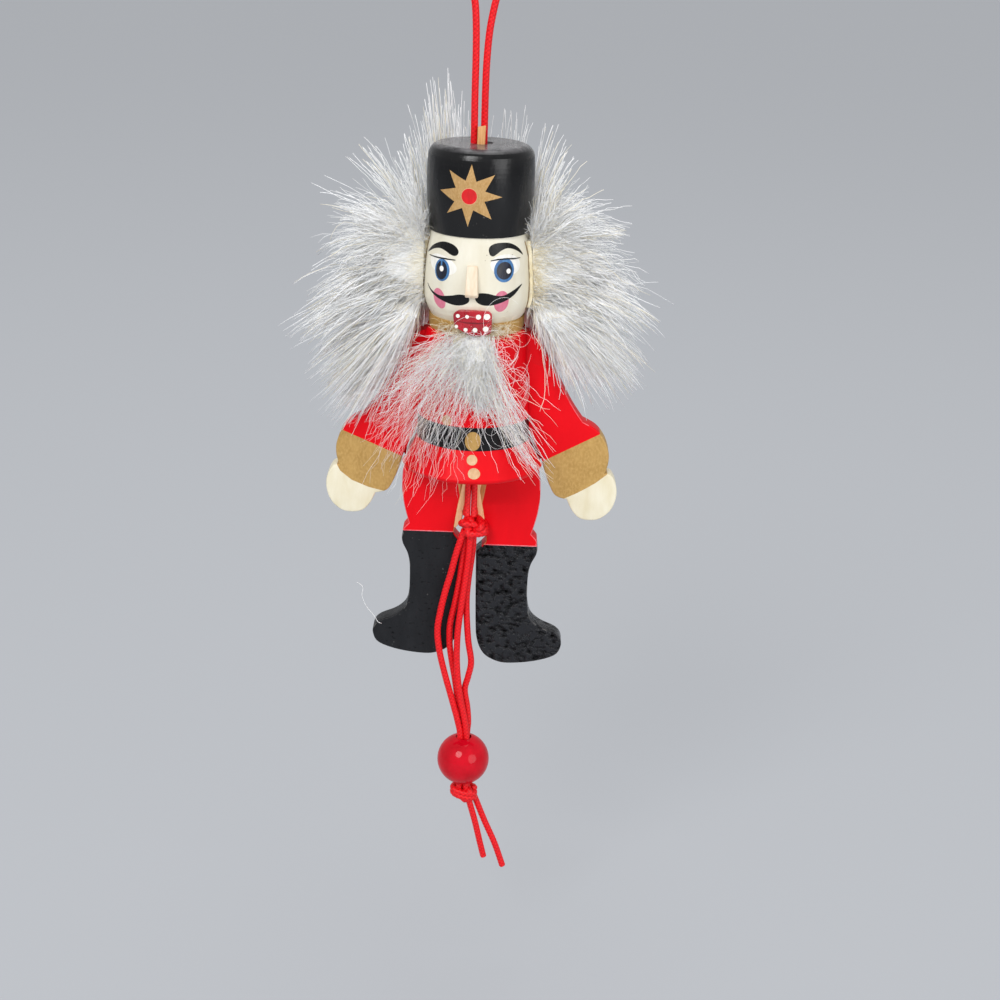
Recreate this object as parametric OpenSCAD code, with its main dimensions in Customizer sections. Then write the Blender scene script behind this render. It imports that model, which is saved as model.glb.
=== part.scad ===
// Pull string jumping jack: a turned wooden soldier with four plywood limbs.
// The figure hangs from a cord loop, faces -Y, and its left and right are the viewer's.
// The origin is the inside top of the hanger loop, where a hook bears. Sizes in mm.

/* [Hanger and cords] */
// Height from the hat's flat top to the place where a hook bears in the loop
hanger_h = 37; // [30:1:50]
// Diameter of the braided cord
cord_d = 1.4; // [1.2:0.1:1.5]

/* [Hat] */
// Height of the hat
hat_h = 18.5; // [17:0.5:22]
// Radius of the hat where it is widest
hat_r = 11.7; // [11:0.1:13]
// Radius of the hat at its lower edge
hat_foot_r = 10.9; // [10:0.1:11.5]
// Radius of the worn corner round the hat's top
hat_corner_r = 2.7; // [1.5:0.1:3.5]
// Radius of the hole in the hat's top that holds both ends of the hanger cord
hanger_bore_r = 2.45; // [2.4:0.05:3]
// Depth of that hole
hanger_bore_depth = 12; // [8:0.5:13]
// Radius of the wooden peg that wedges the cord in its hole
peg_r = 0.9; // [0.5:0.05:0.9]
// Length of peg that stands out of the hat
peg_stand = 3.4; // [1:0.2:6]

/* [Head] */
// Height of the head between the hat and the collar
head_h = 18.8; // [17:0.2:21]
// Radius of the head at the cheeks, where it is widest
head_r = 11.9; // [11:0.1:12.5]
// Radius of the head at the jaw
jaw_r = 10.2; // [9:0.1:11]
// Radius of the head where it meets the hat
crown_r = 10.6; // [9.5:0.1:11]
// Angle by which the head is glued off the straight, negative to the viewer's left
head_turn = -5; // [-15:1:15]
// Radius of the turned spigot on the head that seats in the hat
spigot_r = 4; // [3:0.25:6]
// Height of that spigot
spigot_h = 3; // [2:0.25:3]
// Radius of the dowel between the head and the body
dowel_r = 2.5; // [1.5:0.25:3.5]
// Depth of the dowel in the head
dowel_up = 6; // [4:0.5:8]
// Width of the nose
nose_w = 2.8; // [2:0.1:4]
// Height of the nose
nose_h = 6.6; // [5:0.2:8]
// How far the tip of the nose stands out from the cheeks
nose_out = 1.9; // [1:0.1:3]
// Width of the mouth piece
mouth_w = 8.7; // [7:0.1:11]
// Height of the mouth piece
mouth_h = 5.6; // [5:0.2:7]
// Thickness of the mouth piece in front of the cheeks
mouth_t = 0.9; // [0.5:0.1:1.5]

/* [Body] */
// Height of the turned body from the collar's top to the hem
body_h = 35.3; // [34:0.2:38]
// Radius of the gold collar
collar_r = 10.6; // [10:0.1:11.5]
// Height of the gold collar
collar_h = 2.8; // [2:0.1:4]
// Radius of the jacket at the shoulders
shoulder_r = 11.7; // [11.4:0.1:13]
// Radius of the belt
belt_r = 12.9; // [12.4:0.1:14]
// Height of the belt
belt_h = 5.4; // [4:0.2:7]
// Height of the belt's lower edge above the hem
belt_rise = 7; // [6:0.2:9]
// Radius of the skirt at the hem
hem_r = 16.2; // [16:0.1:18]
// Width of the saw cut that holds the limbs
kerf_w = 5.8; // [5.6:0.1:6.4]
// Wood left between the saw cut and the body's top
kerf_roof = 2.3; // [2:0.1:2.4]

/* [Limbs] */
// Thickness of the plywood of arms and legs
ply_t = 5; // [4.6:0.1:5.2]
// Radius of the wire pins that the limbs turn on
pin_r = 0.8; // [0.6:0.05:0.9]
// Distance of the shoulder pins from the body's axis
shoulder_x = 9.4; // [9:0.1:9.8]
// Depth of the shoulder pins below the body's top
shoulder_drop = 9.1; // [9.1:0.1:9.8]
// Distance of the hip pins from the body's axis
hip_x = 8.7; // [8.7:0.05:9]
// Height of the right hip pin above the hem
hip_rise = 4.1; // [3.6:0.1:4.6]
// How much higher the left hip pin sits than the right one
hip_left_up = 1.8; // [0:0.1:2]
// Radius of the arm's round end in the saw cut
arm_end_r = 4.8; // [4.4:0.1:4.9]
// Reach of the hand sideways from the shoulder pin
arm_reach = 24; // [22:0.5:28]
// Reach of the hand downwards from the shoulder pin
arm_drop = 38.6; // [36:0.2:40]
// Radius of the leg's round end in the saw cut
leg_end_r = 5.6; // [5.2:0.1:5.7]
// Reach of the toe sideways from the hip pin
leg_reach = 13.6; // [13:0.2:16]
// Length of the leg from the hip pin to the sole
leg_drop = 53.7; // [48:0.5:58]
// Width of the bare bevel along the inside of each leg
leg_bevel = 1.5; // [0.8:0.1:1.6]

/* [Strings] */
// Distance of each arm's string knot from its shoulder pin
arm_string_r = 5.2; // [5.1:0.05:5.3]
// Swing of the arms from rest to their top
arm_swing = 80; // [74:1:80]
// Swing of the legs from rest to their top
leg_swing = 61; // [60:1:62]
// Radius of the small knots on the limbs
limb_knot_r = 1.05; // [0.9:0.05:1.1]
// Radius of the pull bead
bead_r = 6.25; // [5:0.25:8]
// Radius of the hole through the bead
bead_bore_r = 1.85; // [1.8:0.05:2.5]

/* [Hair and beard] */
// Thickness of the fabric that backs the fur
backing_t = 0.9; // [0.6:0.1:1.5]
// Height of the fabric strip behind the head
hair_band_h = 15; // [12:0.5:17]
// Angle of the fabric strip round the back of the head
hair_band_angle = 206; // [180:2:216]
// Reach of the combed-out hair to each side of the axis
hair_reach = 38; // [32:1:42]
// Thickness of the combed-out hair at the sides, from front to back
hair_depth = 12; // [9:0.5:14]
// Length of the beard below the mouth
beard_l = 29; // [22:1:31]
// Width of the beard at its lower end
beard_w = 27; // [18:1:32]
// Thickness of the beard
beard_t = 4.6; // [3:0.2:7]

/* [Hidden] */
$fn = 64;

// Clearances: glued joints, pins in the body, limbs on their pins, soft parts, cuts
glue_gap = 0.05;
pin_gap = 0.02;
turn_gap = 0.07;
soft_gap = 0.3;
over = 1;

// Heights of the stack, from the hook down
hat_top = -hanger_h;
hat_foot = hat_top - hat_h;
head_foot = hat_foot - head_h;
body_foot = head_foot - body_h;
kerf_top = head_foot - kerf_roof;
cord_r = cord_d / 2;

// Places of the pins
shoulder_z = head_foot - shoulder_drop;
hip_right_z = body_foot + hip_rise;
function hip_z(side) = hip_right_z + (side < 0 ? hip_left_up : 0);

// Curves
function arc(c, r, a0, a1, n) = [for (i = [0:n]) let (a = a0 + (a1 - a0) * i / n)
    [c[0] + r * cos(a), c[1] + r * sin(a)]];
function bend(a, b, c, n) = [for (i = [0:n]) let (t = i / n)
    a * (1 - t) * (1 - t) + b * 2 * t * (1 - t) + c * t * t];
function spline_at(a, b, c, d, t) = (b * 2 + (c - a) * t + (a * 2 - b * 5 + c * 4 - d) * t * t
    + (b * 3 - a - c * 3 + d) * t * t * t) / 2;
function spline(p, n) = let (e = len(p) - 1) concat([for (i = [0:e - 1], j = [0:n - 1])
    spline_at(p[max(i - 1, 0)], p[i], p[i + 1], p[min(i + 2, e)], j / n)], [p[e]]);
function sized(shares, w, h) = [for (s = shares) [s[0] * w, s[1] * h]];
function flipped(p) = [for (i = [len(p) - 1:-1:0]) p[i]];

// A tube along points: eight-sided rings square to the path, closed at both ends
tube_sides = 8;
function unit(v) = v / norm(v);
function heading(p, i) = unit(p[min(i + 1, len(p) - 1)] - p[max(i - 1, 0)]);
function turned(n, t) = unit(n - t * (n * t));
function ring_normals(p, i = 0, acc = []) = i == len(p) ? acc
    : let (t = heading(p, i), last = i == 0 ? [0, 1, 0] : acc[i - 1])
    ring_normals(p, i + 1, concat(acc, [turned(last, t)]));
function ring(c, t, n, r) = let (b = cross(t, n)) [for (k = [0:tube_sides - 1])
    let (a = 360 * k / tube_sides) c + n * r * cos(a) + b * r * sin(a)];
module tube(p, r) {
    normals = ring_normals(p);
    m = tube_sides;
    points = [for (i = [0:len(p) - 1]) each ring(p[i], heading(p, i), normals[i], r)];
    walls = [for (i = [0:len(p) - 2], k = [0:m - 1]) let (a = i * m + k, b = i * m + (k + 1) % m)
        each [[a, a + m, b], [b, a + m, b + m]]];
    start = [for (k = [1:m - 2]) [0, k, k + 1]];
    end0 = (len(p) - 1) * m;
    stop = [for (k = [1:m - 2]) [end0, end0 + k + 1, end0 + k]];
    polyhedron(points, concat(walls, start, stop));
}

// Side of the head and of the hat: share 0 is the lower edge, 1 the upper
cheek_share = 0.28;
function head_side_r(s) = s < cheek_share
    ? head_r - (head_r - jaw_r) * pow(1 - s / cheek_share, 2)
    : head_r - (head_r - crown_r) * pow((s - cheek_share) / (1 - cheek_share), 2);
hat_wide_share = 0.64;
function hat_side_r(s) = hat_r - (hat_r - hat_foot_r) * pow(1 - s / hat_wide_share, 2)
    * (s < hat_wide_share ? 1 : 2);
function head_side(s0, s1, off, n = 14) = [for (i = [0:n]) let (s = s0 + (s1 - s0) * i / n)
    [head_side_r(s) + off, head_foot + head_h * s]];

module head_turning(grow) rotate_extrude() polygon(concat(
    [[0, head_foot]], head_side(0, 1, grow), [[0, hat_foot]]));

// Body profile, from the hem up
hem_round = 1.1;
hem_flare_share = 0.3;
chest_share = 0.45;
collar_foot = head_foot - collar_h;
belt_foot = body_foot + belt_rise;
belt_top = belt_foot + belt_h;
shoulder_slope = 2.4;
body_side = concat(
    arc([hem_r - hem_round, body_foot + hem_round], hem_round, -90, 0, 6),
    bend([hem_r, body_foot + hem_round],
        [belt_r + (hem_r - belt_r) * hem_flare_share, body_foot + belt_rise * (1 - hem_flare_share)],
        [belt_r, belt_foot], 8),
    bend([belt_r, belt_top], [shoulder_r, belt_top + (collar_foot - belt_top) * chest_share],
        [shoulder_r, collar_foot - shoulder_slope], 8),
    bend([shoulder_r, collar_foot - shoulder_slope], [shoulder_r, collar_foot],
        [collar_r, collar_foot], 5),
    [[collar_r, head_foot]]);
module body_turning(grow) rotate_extrude() polygon(concat([[0, body_foot - grow]],
    [[hem_r - hem_round + grow, body_foot - grow]],
    [for (p = body_side) [p[0] + grow, p[1]]], [[0, head_foot]]));

// Pins: from inside the front wall, through the limb, to just behind the body's back
pin_front_depth = 2.6;
pin_proud = 0.4;
pin_front_y = -kerf_w / 2 - pin_front_depth;
shoulder_pin_end = sqrt(shoulder_r * shoulder_r - shoulder_x * shoulder_x) + pin_proud;
hip_skirt_share = 0.5;
hip_skirt_r = belt_r + (hem_r - belt_r) * hip_skirt_share * hip_skirt_share;
hip_pin_end = sqrt(hip_skirt_r * hip_skirt_r - hip_x * hip_x) + pin_proud;
module along_y(x, y0, y1, z, r) translate([x, y1, z]) rotate([90, 0, 0])
    cylinder(h = y1 - y0, r = r, $fn = 48);

// A plate of plywood in the saw cut, from an outline in X and Z
module plate(outline) translate([0, ply_t / 2, 0]) rotate([90, 0, 0])
    linear_extrude(ply_t) polygon(outline);

// Arm outline from the shoulder pin, as shares of the arm's reach and drop
arm_end_x = 1;
arm_end_z = 0.6;
arm_end_angles = [206, 29];
arm_outer_shares = [[0.36, -0.09], [0.525, -0.28], [0.64, -0.385]];
cuff_outer_shares = [[0.64, -0.385], [0.77, -0.43], [0.855, -0.497], [0.9, -0.573],
    [0.9, -0.642], [0.875, -0.7]];
hand_shares = [[0.875, -0.7], [0.94, -0.715], [0.99, -0.777], [0.995, -0.855], [0.95, -0.933],
    [0.854, -0.987], [0.754, -1], [0.65, -0.987], [0.575, -0.938], [0.525, -0.873]];
cuff_inner_shares = [[0.525, -0.873], [0.417, -0.852], [0.354, -0.788], [0.3, -0.7], [0.27, -0.632]];
arm_inner_shares = [[0.27, -0.632], [0.233, -0.575], [0.158, -0.482], [0.079, -0.373], [-0.03, -0.21]];
arm_outline = concat(
    arc([arm_end_x, arm_end_z], arm_end_r, arm_end_angles[0], arm_end_angles[1], 24),
    [for (shares = [arm_outer_shares, cuff_outer_shares, hand_shares, cuff_inner_shares,
        arm_inner_shares]) each spline(sized(shares, arm_reach, arm_drop), 4)]);

// Leg outline from the hip pin, as shares of the leg's reach and drop
leg_top_shares = [[0.2, 0.076], [0.28, 0.035], [0.338, -0.002], [0.404, -0.037], [0.47, -0.082],
    [0.522, -0.145]];
trouser_outer_shares = [[0.522, -0.145], [0.528, -0.22], [0.49, -0.3], [0.405, -0.382]];
trouser_hem_shares = [[0.405, -0.382], [0.5, -0.41], [0.5, -0.43]];
boot_shares = [[0.5, -0.43], [0.522, -0.449], [0.5, -0.48], [0.42, -0.523], [0.382, -0.572],
    [0.375, -0.642], [0.385, -0.708], [0.44, -0.773], [0.61, -0.816], [0.875, -0.847], [0.985, -0.875],
    [1, -0.911], [0.897, -0.955], [0.537, -0.987], [0.096, -1], [-0.14, -0.99], [-0.346, -0.957],
    [-0.463, -0.892], [-0.5, -0.791], [-0.53, -0.471]];
leg_inner_shares = [[-0.53, -0.471], [-0.39, -0.432], [-0.37, -0.4], [-0.43, -0.29], [-0.511, -0.177],
    [-0.48, -0.1]];
leg_end_angles = [180, 75];
leg_outline = concat(
    arc([0, 0], leg_end_r, leg_end_angles[0], leg_end_angles[1], 16),
    [for (shares = [leg_top_shares, trouser_outer_shares, trouser_hem_shares, boot_shares, leg_inner_shares])
        each spline(sized(shares, leg_reach, leg_drop), 4)]);

// At rest a leg stays clear of the inner edge of the arm that hangs over it
limb_gap = 0.6;
arm_inner_lookup_shares = [for (s = concat(arm_inner_shares, cuff_inner_shares)) [-s[1], s[0]]];
function arm_inner_x(z) = shoulder_x + arm_reach * lookup((shoulder_z - z) / arm_drop, arm_inner_lookup_shares);
function beside_arm(outline, z) = [for (p = outline)
    [p[0] > 0 && p[1] > -leg_drop * trouser_length_share
        ? max(min(p[0], arm_inner_x(z + p[1]) - hip_x - limb_gap), pin_r + limb_gap) : p[0], p[1]]];
trouser_length_share = 0.3;
bevel_lean = 9.7;
bevel_top_share = 0.03;
bevel_foot_share = 0.44;

// Knots on the limbs stand half the swing above the pin at rest, and all travel alike
pull_travel = 2 * arm_string_r * sin(arm_swing / 2);
leg_string_r = pull_travel / 2 / sin(leg_swing / 2);
knot_depth = 2.2;
function knot_place(x, z, r, half) = [x - r * cos(half), 0, z + r * sin(half)];
module limb_knot(x, z, r, half) translate([x, 0, z]) rotate([0, -90 + half, 0]) {
    translate([0, 0, r]) sphere(r = limb_knot_r, $fn = 24);
    translate([0, 0, r - limb_knot_r - knot_depth + cord_r])
        cylinder(h = knot_depth + limb_knot_r - cord_r, r = cord_r, $fn = 24);
}
module knot_bore(x, z, r, half) translate([x, 0, z]) rotate([0, -90 + half, 0])
    translate([0, 0, r - limb_knot_r - knot_depth + cord_r - glue_gap])
        cylinder(h = knot_depth + 2 * limb_knot_r, r = cord_r + glue_gap, $fn = 24);

// The knot's ball sits in a round seat in the limb's rim
module knot_seat(x, z, r, half) translate([x, 0, z]) rotate([0, -90 + half, 0])
    translate([0, 0, r]) sphere(r = limb_knot_r + glue_gap, $fn = 24);

// Strings inside the body, at rest: points from just under each limb's knot to the crotch knot
string_end_drop = limb_knot_r + soft_gap;
function string_end_z(z, r, half) = z + r * sin(half) - string_end_drop;
arm_string_x = 4.6;
leg_string_x = 1.45;
arm_string_route = [[0.75, -2, -94], [0.75, -2.1, -114], [0.75, -4.4, -121.6]];
leg_string_route = [[1.45, 0, -106], [0.75, -0.55, -113], [0.75, -0.6, -117], [1.1, -2.8, -121.8]];
arm_string_points = concat([[arm_string_x, 0, string_end_z(shoulder_z, arm_string_r, arm_swing / 2)]],
    arm_string_route);
function leg_string_points(side) = concat(
    [[leg_string_x, 0, string_end_z(hip_z(side), leg_string_r, leg_swing / 2)]], leg_string_route);
function sided(p, side) = [for (q = p) [side * q[0], q[1], q[2]]];

// Pull strings from the crotch knot, through the bead and its knot; two end in free tails
bead_y = -4.3;
bead_z = -184.2;
crotch_knot_at = [0, -4.6, -123.5];
crotch_knot_r = 2.6;
crotch_knot_half = 3.3;
bead_knot_at = [0.4, -4.3, -193.3];
bead_knot_r = 2.7;
bead_knot_half = 3.7;
pull_route_1 = [[-1.5, -5, -125], [-2.9, -5, -130], [-4.1, -5, -135.3], [-5.3, -5, -140],
    [-6.3, -5, -145], [-6.9, -5, -150], [-6.3, -5, -155.5], [-4.9, -5, -161.5], [-3.1, -5, -168],
    [-1.5, -5, -174], [-0.8, -5.05, -178.5], [-0.75, -5.05, -190.4], [-1.3, -5, -193.5]];
pull_route_2 = [[-0.9, -3.5, -125], [-1.4, -3.6, -131], [-2, -3.6, -137], [-2.9, -3.6, -143],
    [-4, -3.6, -149], [-4, -3.6, -154], [-3.4, -3.6, -158.5], [-2.5, -3.6, -163.5], [-1.6, -3.6, -170],
    [-0.9, -3.6, -176], [-0.75, -3.55, -180], [-0.75, -3.55, -190.4], [-1.3, -3.5, -193.5]];
pull_route_3 = [[0.2, -5, -125], [-0.1, -5, -131], [-0.7, -5, -137], [-1.4, -5, -143],
    [-2.1, -5, -150], [-2.2, -5, -156.5], [-1.8, -5, -162.5], [-0.9, -5, -168.5], [0.2, -5, -174],
    [0.75, -5.05, -180], [0.75, -5.05, -190.4], [1.4, -5.05, -194], [3.3, -4.9, -201],
    [4.7, -4.7, -207], [5.8, -4.6, -211.5]];
pull_route_4 = [[0.9, -3.5, -125], [0.7, -3.6, -130.5], [0, -3.6, -137], [-0.3, -3.6, -143.5],
    [0.3, -3.6, -152.5], [1.2, -3.6, -158.5], [0.6, -3.6, -162.5], [-0.1, -3.6, -166], [0.6, -3.6, -170.5],
    [0.95, -3.6, -174.5], [0.75, -3.55, -178.5], [0.75, -3.55, -190.4], [2.6, -3.5, -194],
    [5.6, -3.6, -201.5], [8.4, -3.7, -208], [10.6, -3.8, -214.4]];

// Hanger cord: up from the hat's hole, over the hook and back down
hanger_loop_left = [[-1.9, 0, -14], [-2.2, 0, -9], [-2.8, 0, -5], [-2.9, 0, -2.4], [-2.4, 0, -0.6], [-1.3, 0, 0.4]];
hanger_loop_right = [[1.3, 0, 0.4], [2.4, 0, -0.6], [2.9, 0, -2.4], [2.6, 0, -5], [1.7, 0, -9], [0.9, 0, -14]];
hanger_route = concat([[-1.7, 0.1, -48], [-1.7, 0.1, -42], [-1.7, 0.1, -37], [-1.75, 0.05, -31.5],
    [-1.8, 0, -26], [-1.8, 0, -20]], hanger_loop_left, [[0, 0, 0.7]], hanger_loop_right,
    [[0.5, 0, -20], [0.4, 0.3, -26], [0.4, 0.9, -31.5], [0.4, 1.3, -37], [0.4, 1.4, -42], [0.4, 1.4, -48]]);

// Hair: balls round the edge of each part of the combed-out mass, as shares of its reach and of the
// head's height. The sides are thick at the head and thin at the edge, and stay behind the arms. Above
// the highest place of the hands the sides also come forward. Behind the hat stands a thin fringe.
hair_front = ply_t / 2 + soft_gap;
arm_top = shoulder_z + max([for (p = arm_outline) p[0] * sin(arm_swing) + p[1] * cos(arm_swing)]);
hair_side_shares = [[0.42, 1.58], [0.62, 1.32], [0.75, 0.97], [0.82, 0.55], [0.87, 0.1], [0.88, -0.28],
    [0.83, -0.6], [0.71, -0.8], [0.53, -0.83], [0.38, -0.62]];
hair_side_r_share = 0.118;
hair_root_shares = [[0.34, 1.3], [0.38, 0.5], [0.36, -0.3]];
hair_root_r_share = 0.15;
hair_ahead_shares = [[0.36, 1.35], [0.42, 1.5], [0.6, 1.25], [0.74, 0.95], [0.8, 0.65], [0.8, 0.4], [0.4, 0.4]];
hair_ahead_r_share = 0.08;
hair_back_shares = [[0.16, 0.75], [0.16, -0.15], [0.26, 0.3]];
hair_back_r_share = 0.17;
hair_fringe_shares = [[0.17, 2.03], [0.33, 1.85], [0.42, 1.5], [0.3, 0.9]];
hair_fringe_r_share = 0.045;
hair_ball_fn = 16;
hair_root_depth_share = 0.75;
hair_ahead_depth_share = 0.15;
band_rise_share = 0.55;
band_share = (1 - hair_band_h / head_h) * band_rise_share;
beard_top_share = 0.25;
beard_top = head_foot - mouth_h * beard_top_share;

module torso() color("crimson") difference() {
    body_turning(0);
    translate([-hem_r - over, -kerf_w / 2, body_foot - over])
        cube([2 * (hem_r + over), kerf_w, kerf_top - body_foot + over]);
    for (side = [-1, 1]) {
        along_y(side * shoulder_x, pin_front_y - pin_gap, hem_r + over, shoulder_z, pin_r + pin_gap);
        along_y(side * hip_x, pin_front_y - pin_gap, hem_r + over, hip_z(side), pin_r + pin_gap);
    }
    translate([0, 0, kerf_top - over])
        cylinder(h = kerf_roof + 2 * over, r = dowel_r + glue_gap);
}

module head() color("ivory") difference() {
    union() {
        head_turning(0);
        translate([0, 0, hat_foot - over]) cylinder(h = spigot_h + over, r = spigot_r);
    }
    translate([0, 0, head_foot - over]) cylinder(h = dowel_up + glue_gap + over, r = dowel_r + glue_gap);
}

module hat() color([0.07, 0.07, 0.08]) difference() {
    rotate_extrude() polygon(concat(
        [[0, hat_foot]],
        [for (i = [0:16]) let (s = i / 16 * (1 - hat_corner_r / hat_h))
            [hat_side_r(s), hat_foot + hat_h * s]],
        arc([hat_side_r(1 - hat_corner_r / hat_h) - hat_corner_r, hat_top - hat_corner_r],
            hat_corner_r, 0, 90, 8),
        [[0, hat_top]]));
    translate([0, 0, hat_foot - over])
        cylinder(h = spigot_h + glue_gap + over, r = spigot_r + glue_gap);
    translate([0, 0, hat_top - hanger_bore_depth])
        cylinder(h = hanger_bore_depth + over, r = hanger_bore_r);
}

module neck_dowel() color("burlywood") translate([0, 0, kerf_top])
    cylinder(h = kerf_roof + dowel_up, r = dowel_r);

peg_tip_share = 0.8;
peg_side_share = -0.08;
peg_ahead_share = 0.37;
module hat_peg() color("burlywood") translate([hanger_bore_r * peg_side_share, -hanger_bore_r * peg_ahead_share,
    hat_top - hanger_bore_depth + glue_gap]) {
    cylinder(h = hanger_bore_depth, r = peg_r, $fn = 32);
    translate([0, 0, hanger_bore_depth])
        cylinder(h = peg_stand, r1 = peg_r, r2 = peg_r * peg_tip_share, $fn = 32);
}

nose_rise_share = 0.34;
nose_side_shares = [[0.75, 0], [1, 0.1], [0.85, 0.3], [0, 1]];
module nose() color("bisque") rotate([0, 0, head_turn]) difference() {
    translate([nose_w / 2, 0, head_foot + head_h * nose_rise_share]) rotate([90, 0, -90])
        linear_extrude(nose_w) polygon(concat([[crown_r, 0]],
            [for (s = nose_side_shares) [head_r + nose_out * s[0], nose_h * s[1]]], [[crown_r, nose_h]]));
    head_turning(glue_gap);
}

mouth_below_share = 0.4;
inside_share = 0.9;
module mouth_plate() color("firebrick") difference() {
    half = asin(mouth_w / 2 / head_r);
    rotate([0, 0, head_turn - 90 - half]) rotate_extrude(angle = 2 * half)
        translate([jaw_r * inside_share, head_foot - mouth_h * mouth_below_share])
            square([head_r + mouth_t - jaw_r * inside_share, mouth_h]);
    head_turning(glue_gap);
    body_turning(glue_gap);
}

module hair_band() color("antiquewhite")
    rotate([0, 0, 90 + head_turn - hair_band_angle / 2]) rotate_extrude(angle = hair_band_angle)
        polygon(concat(head_side(band_share, band_share + hair_band_h / head_h, glue_gap),
            flipped(head_side(band_share, band_share + hair_band_h / head_h, glue_gap + backing_t))));

module hair_balls(shares, r_share, y) for (side = [-1, 1]) hair_side_balls(side, shares, r_share, y);
module hair_side_balls(side, shares, r_share, y) for (s = shares)
    translate([side * hair_reach * s[0], y, head_foot + head_h * s[1]])
        sphere(r = hair_reach * r_share, $fn = hair_ball_fn);

hair_hole_r = max(head_r + backing_t + glue_gap, hat_r, shoulder_r) + soft_gap;
module hair() color("whitesmoke") difference() {
    union() {
        intersection() {
            union() {
                for (side = [-1, 1]) hull() {
                    hair_side_balls(side, hair_side_shares, hair_side_r_share, hair_depth / 2);
                    hair_side_balls(side, hair_root_shares, hair_root_r_share, hair_depth * hair_root_depth_share);
                }
                hull() hair_balls(hair_back_shares, hair_back_r_share, hair_hole_r + hair_depth / 4);
            }
            translate([-hair_reach * 2, hair_front, body_foot])
                cube([hair_reach * 4, hair_depth * 3, -body_foot]);
        }
        intersection() {
            for (side = [-1, 1]) hull()
                hair_side_balls(side, hair_ahead_shares, hair_ahead_r_share, hair_front * hair_ahead_depth_share);
            translate([-hair_reach * 2, -hair_reach, arm_top + 2 * soft_gap])
                cube([hair_reach * 4, hair_reach * 2, -arm_top]);
        }
        hull() hair_balls(hair_fringe_shares, hair_fringe_r_share, hair_hole_r + hair_reach * hair_fringe_r_share);
    }
    translate([0, 0, body_foot]) cylinder(h = -body_foot, r = hair_hole_r);
}

patch_w_share = 0.8;
patch_h_share = 1.6;
module beard_patch() color("antiquewhite") difference() {
    half = asin(mouth_w * patch_w_share / 2 / head_r);
    rotate([0, 0, head_turn - 90 - half]) rotate_extrude(angle = 2 * half)
        translate([collar_r * inside_share, beard_top - collar_h * patch_h_share])
            square([shoulder_r - collar_r * inside_share + backing_t, collar_h * patch_h_share - soft_gap]);
    body_turning(glue_gap);
    translate([0, 0, head_foot - mouth_h * mouth_below_share - soft_gap]) cylinder(h = mouth_h, r = hem_r);
}

beard_end_out_share = 0.75;
beard_side_back_share = 0.4;
beard_ball_fn = 20;
module beard() color("whitesmoke") difference() {
    hull() {
        translate([0, -shoulder_r - backing_t - beard_t / 2, beard_top - beard_t])
            sphere(r = beard_t / 2, $fn = beard_ball_fn);
        for (side = [-1, 0, 1]) translate([side * (beard_w - beard_t) / 2,
            -belt_r - beard_t * (beard_end_out_share - abs(side) * beard_side_back_share),
            beard_top - beard_l + abs(side) * beard_t])
            sphere(r = beard_t / 2, $fn = beard_ball_fn);
    }
    body_turning(soft_gap);
    translate([0, 0, beard_top - collar_h * patch_h_share - soft_gap])
        cylinder(h = body_h, r = shoulder_r + backing_t + soft_gap);
}

module hanger_cord() color("red") tube(hanger_route, cord_r);

module shoulder_pin(side) color("silver")
    along_y(side * shoulder_x, pin_front_y, shoulder_pin_end, shoulder_z, pin_r);
module shoulder_pin_left() shoulder_pin(-1);
module shoulder_pin_right() shoulder_pin(1);
module hip_pin(side) color("silver") along_y(side * hip_x, pin_front_y, hip_pin_end, hip_z(side), pin_r);
module hip_pin_left() hip_pin(-1);
module hip_pin_right() hip_pin(1);

module arm() difference() {
    translate([shoulder_x, 0, shoulder_z]) plate(arm_outline);
    along_y(shoulder_x, -kerf_w, kerf_w, shoulder_z, pin_r + turn_gap);
    knot_bore(shoulder_x, shoulder_z, arm_string_r, arm_swing / 2);
    knot_seat(shoulder_x, shoulder_z, arm_string_r, arm_swing / 2);
}
module arm_left() color("red") mirror([1, 0, 0]) arm();
module arm_right() color("red") arm();

module leg(z) difference() {
    translate([hip_x, 0, z]) plate(beside_arm(leg_outline, z));
    along_y(hip_x, -kerf_w, kerf_w, z, pin_r + turn_gap);
    knot_bore(hip_x, z, leg_string_r, leg_swing / 2);
    knot_seat(hip_x, z, leg_string_r, leg_swing / 2);
    translate([hip_x + leg_inner_shares[4][0] * leg_reach, -ply_t / 2, z + leg_inner_shares[4][1] * leg_drop])
        rotate([0, bevel_lean, 0]) translate([0, 0, -leg_drop * (bevel_foot_share + leg_inner_shares[4][1])])
            linear_extrude(leg_drop * (bevel_foot_share - bevel_top_share))
                polygon([[-leg_bevel, -over], [leg_bevel + over, -over], [leg_bevel, 0],
                    [0, leg_bevel], [-leg_bevel, leg_bevel]]);
}
module leg_left() color("red") mirror([1, 0, 0]) leg(hip_z(-1));
module leg_right() color("red") leg(hip_z(1));

module arm_knot_left() color("red") mirror([1, 0, 0])
    limb_knot(shoulder_x, shoulder_z, arm_string_r, arm_swing / 2);
module arm_knot_right() color("red")
    limb_knot(shoulder_x, shoulder_z, arm_string_r, arm_swing / 2);
module leg_knot_left() color("red") mirror([1, 0, 0])
    limb_knot(hip_x, hip_z(-1), leg_string_r, leg_swing / 2);
module leg_knot_right() color("red") limb_knot(hip_x, hip_z(1), leg_string_r, leg_swing / 2);

module arm_string_left() color("red") tube(sided(arm_string_points, -1), cord_r);
module arm_string_right() color("red") tube(arm_string_points, cord_r);
module leg_string_left() color("red") tube(sided(leg_string_points(-1), -1), cord_r);
module leg_string_right() color("red") tube(leg_string_points(1), cord_r);

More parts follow.
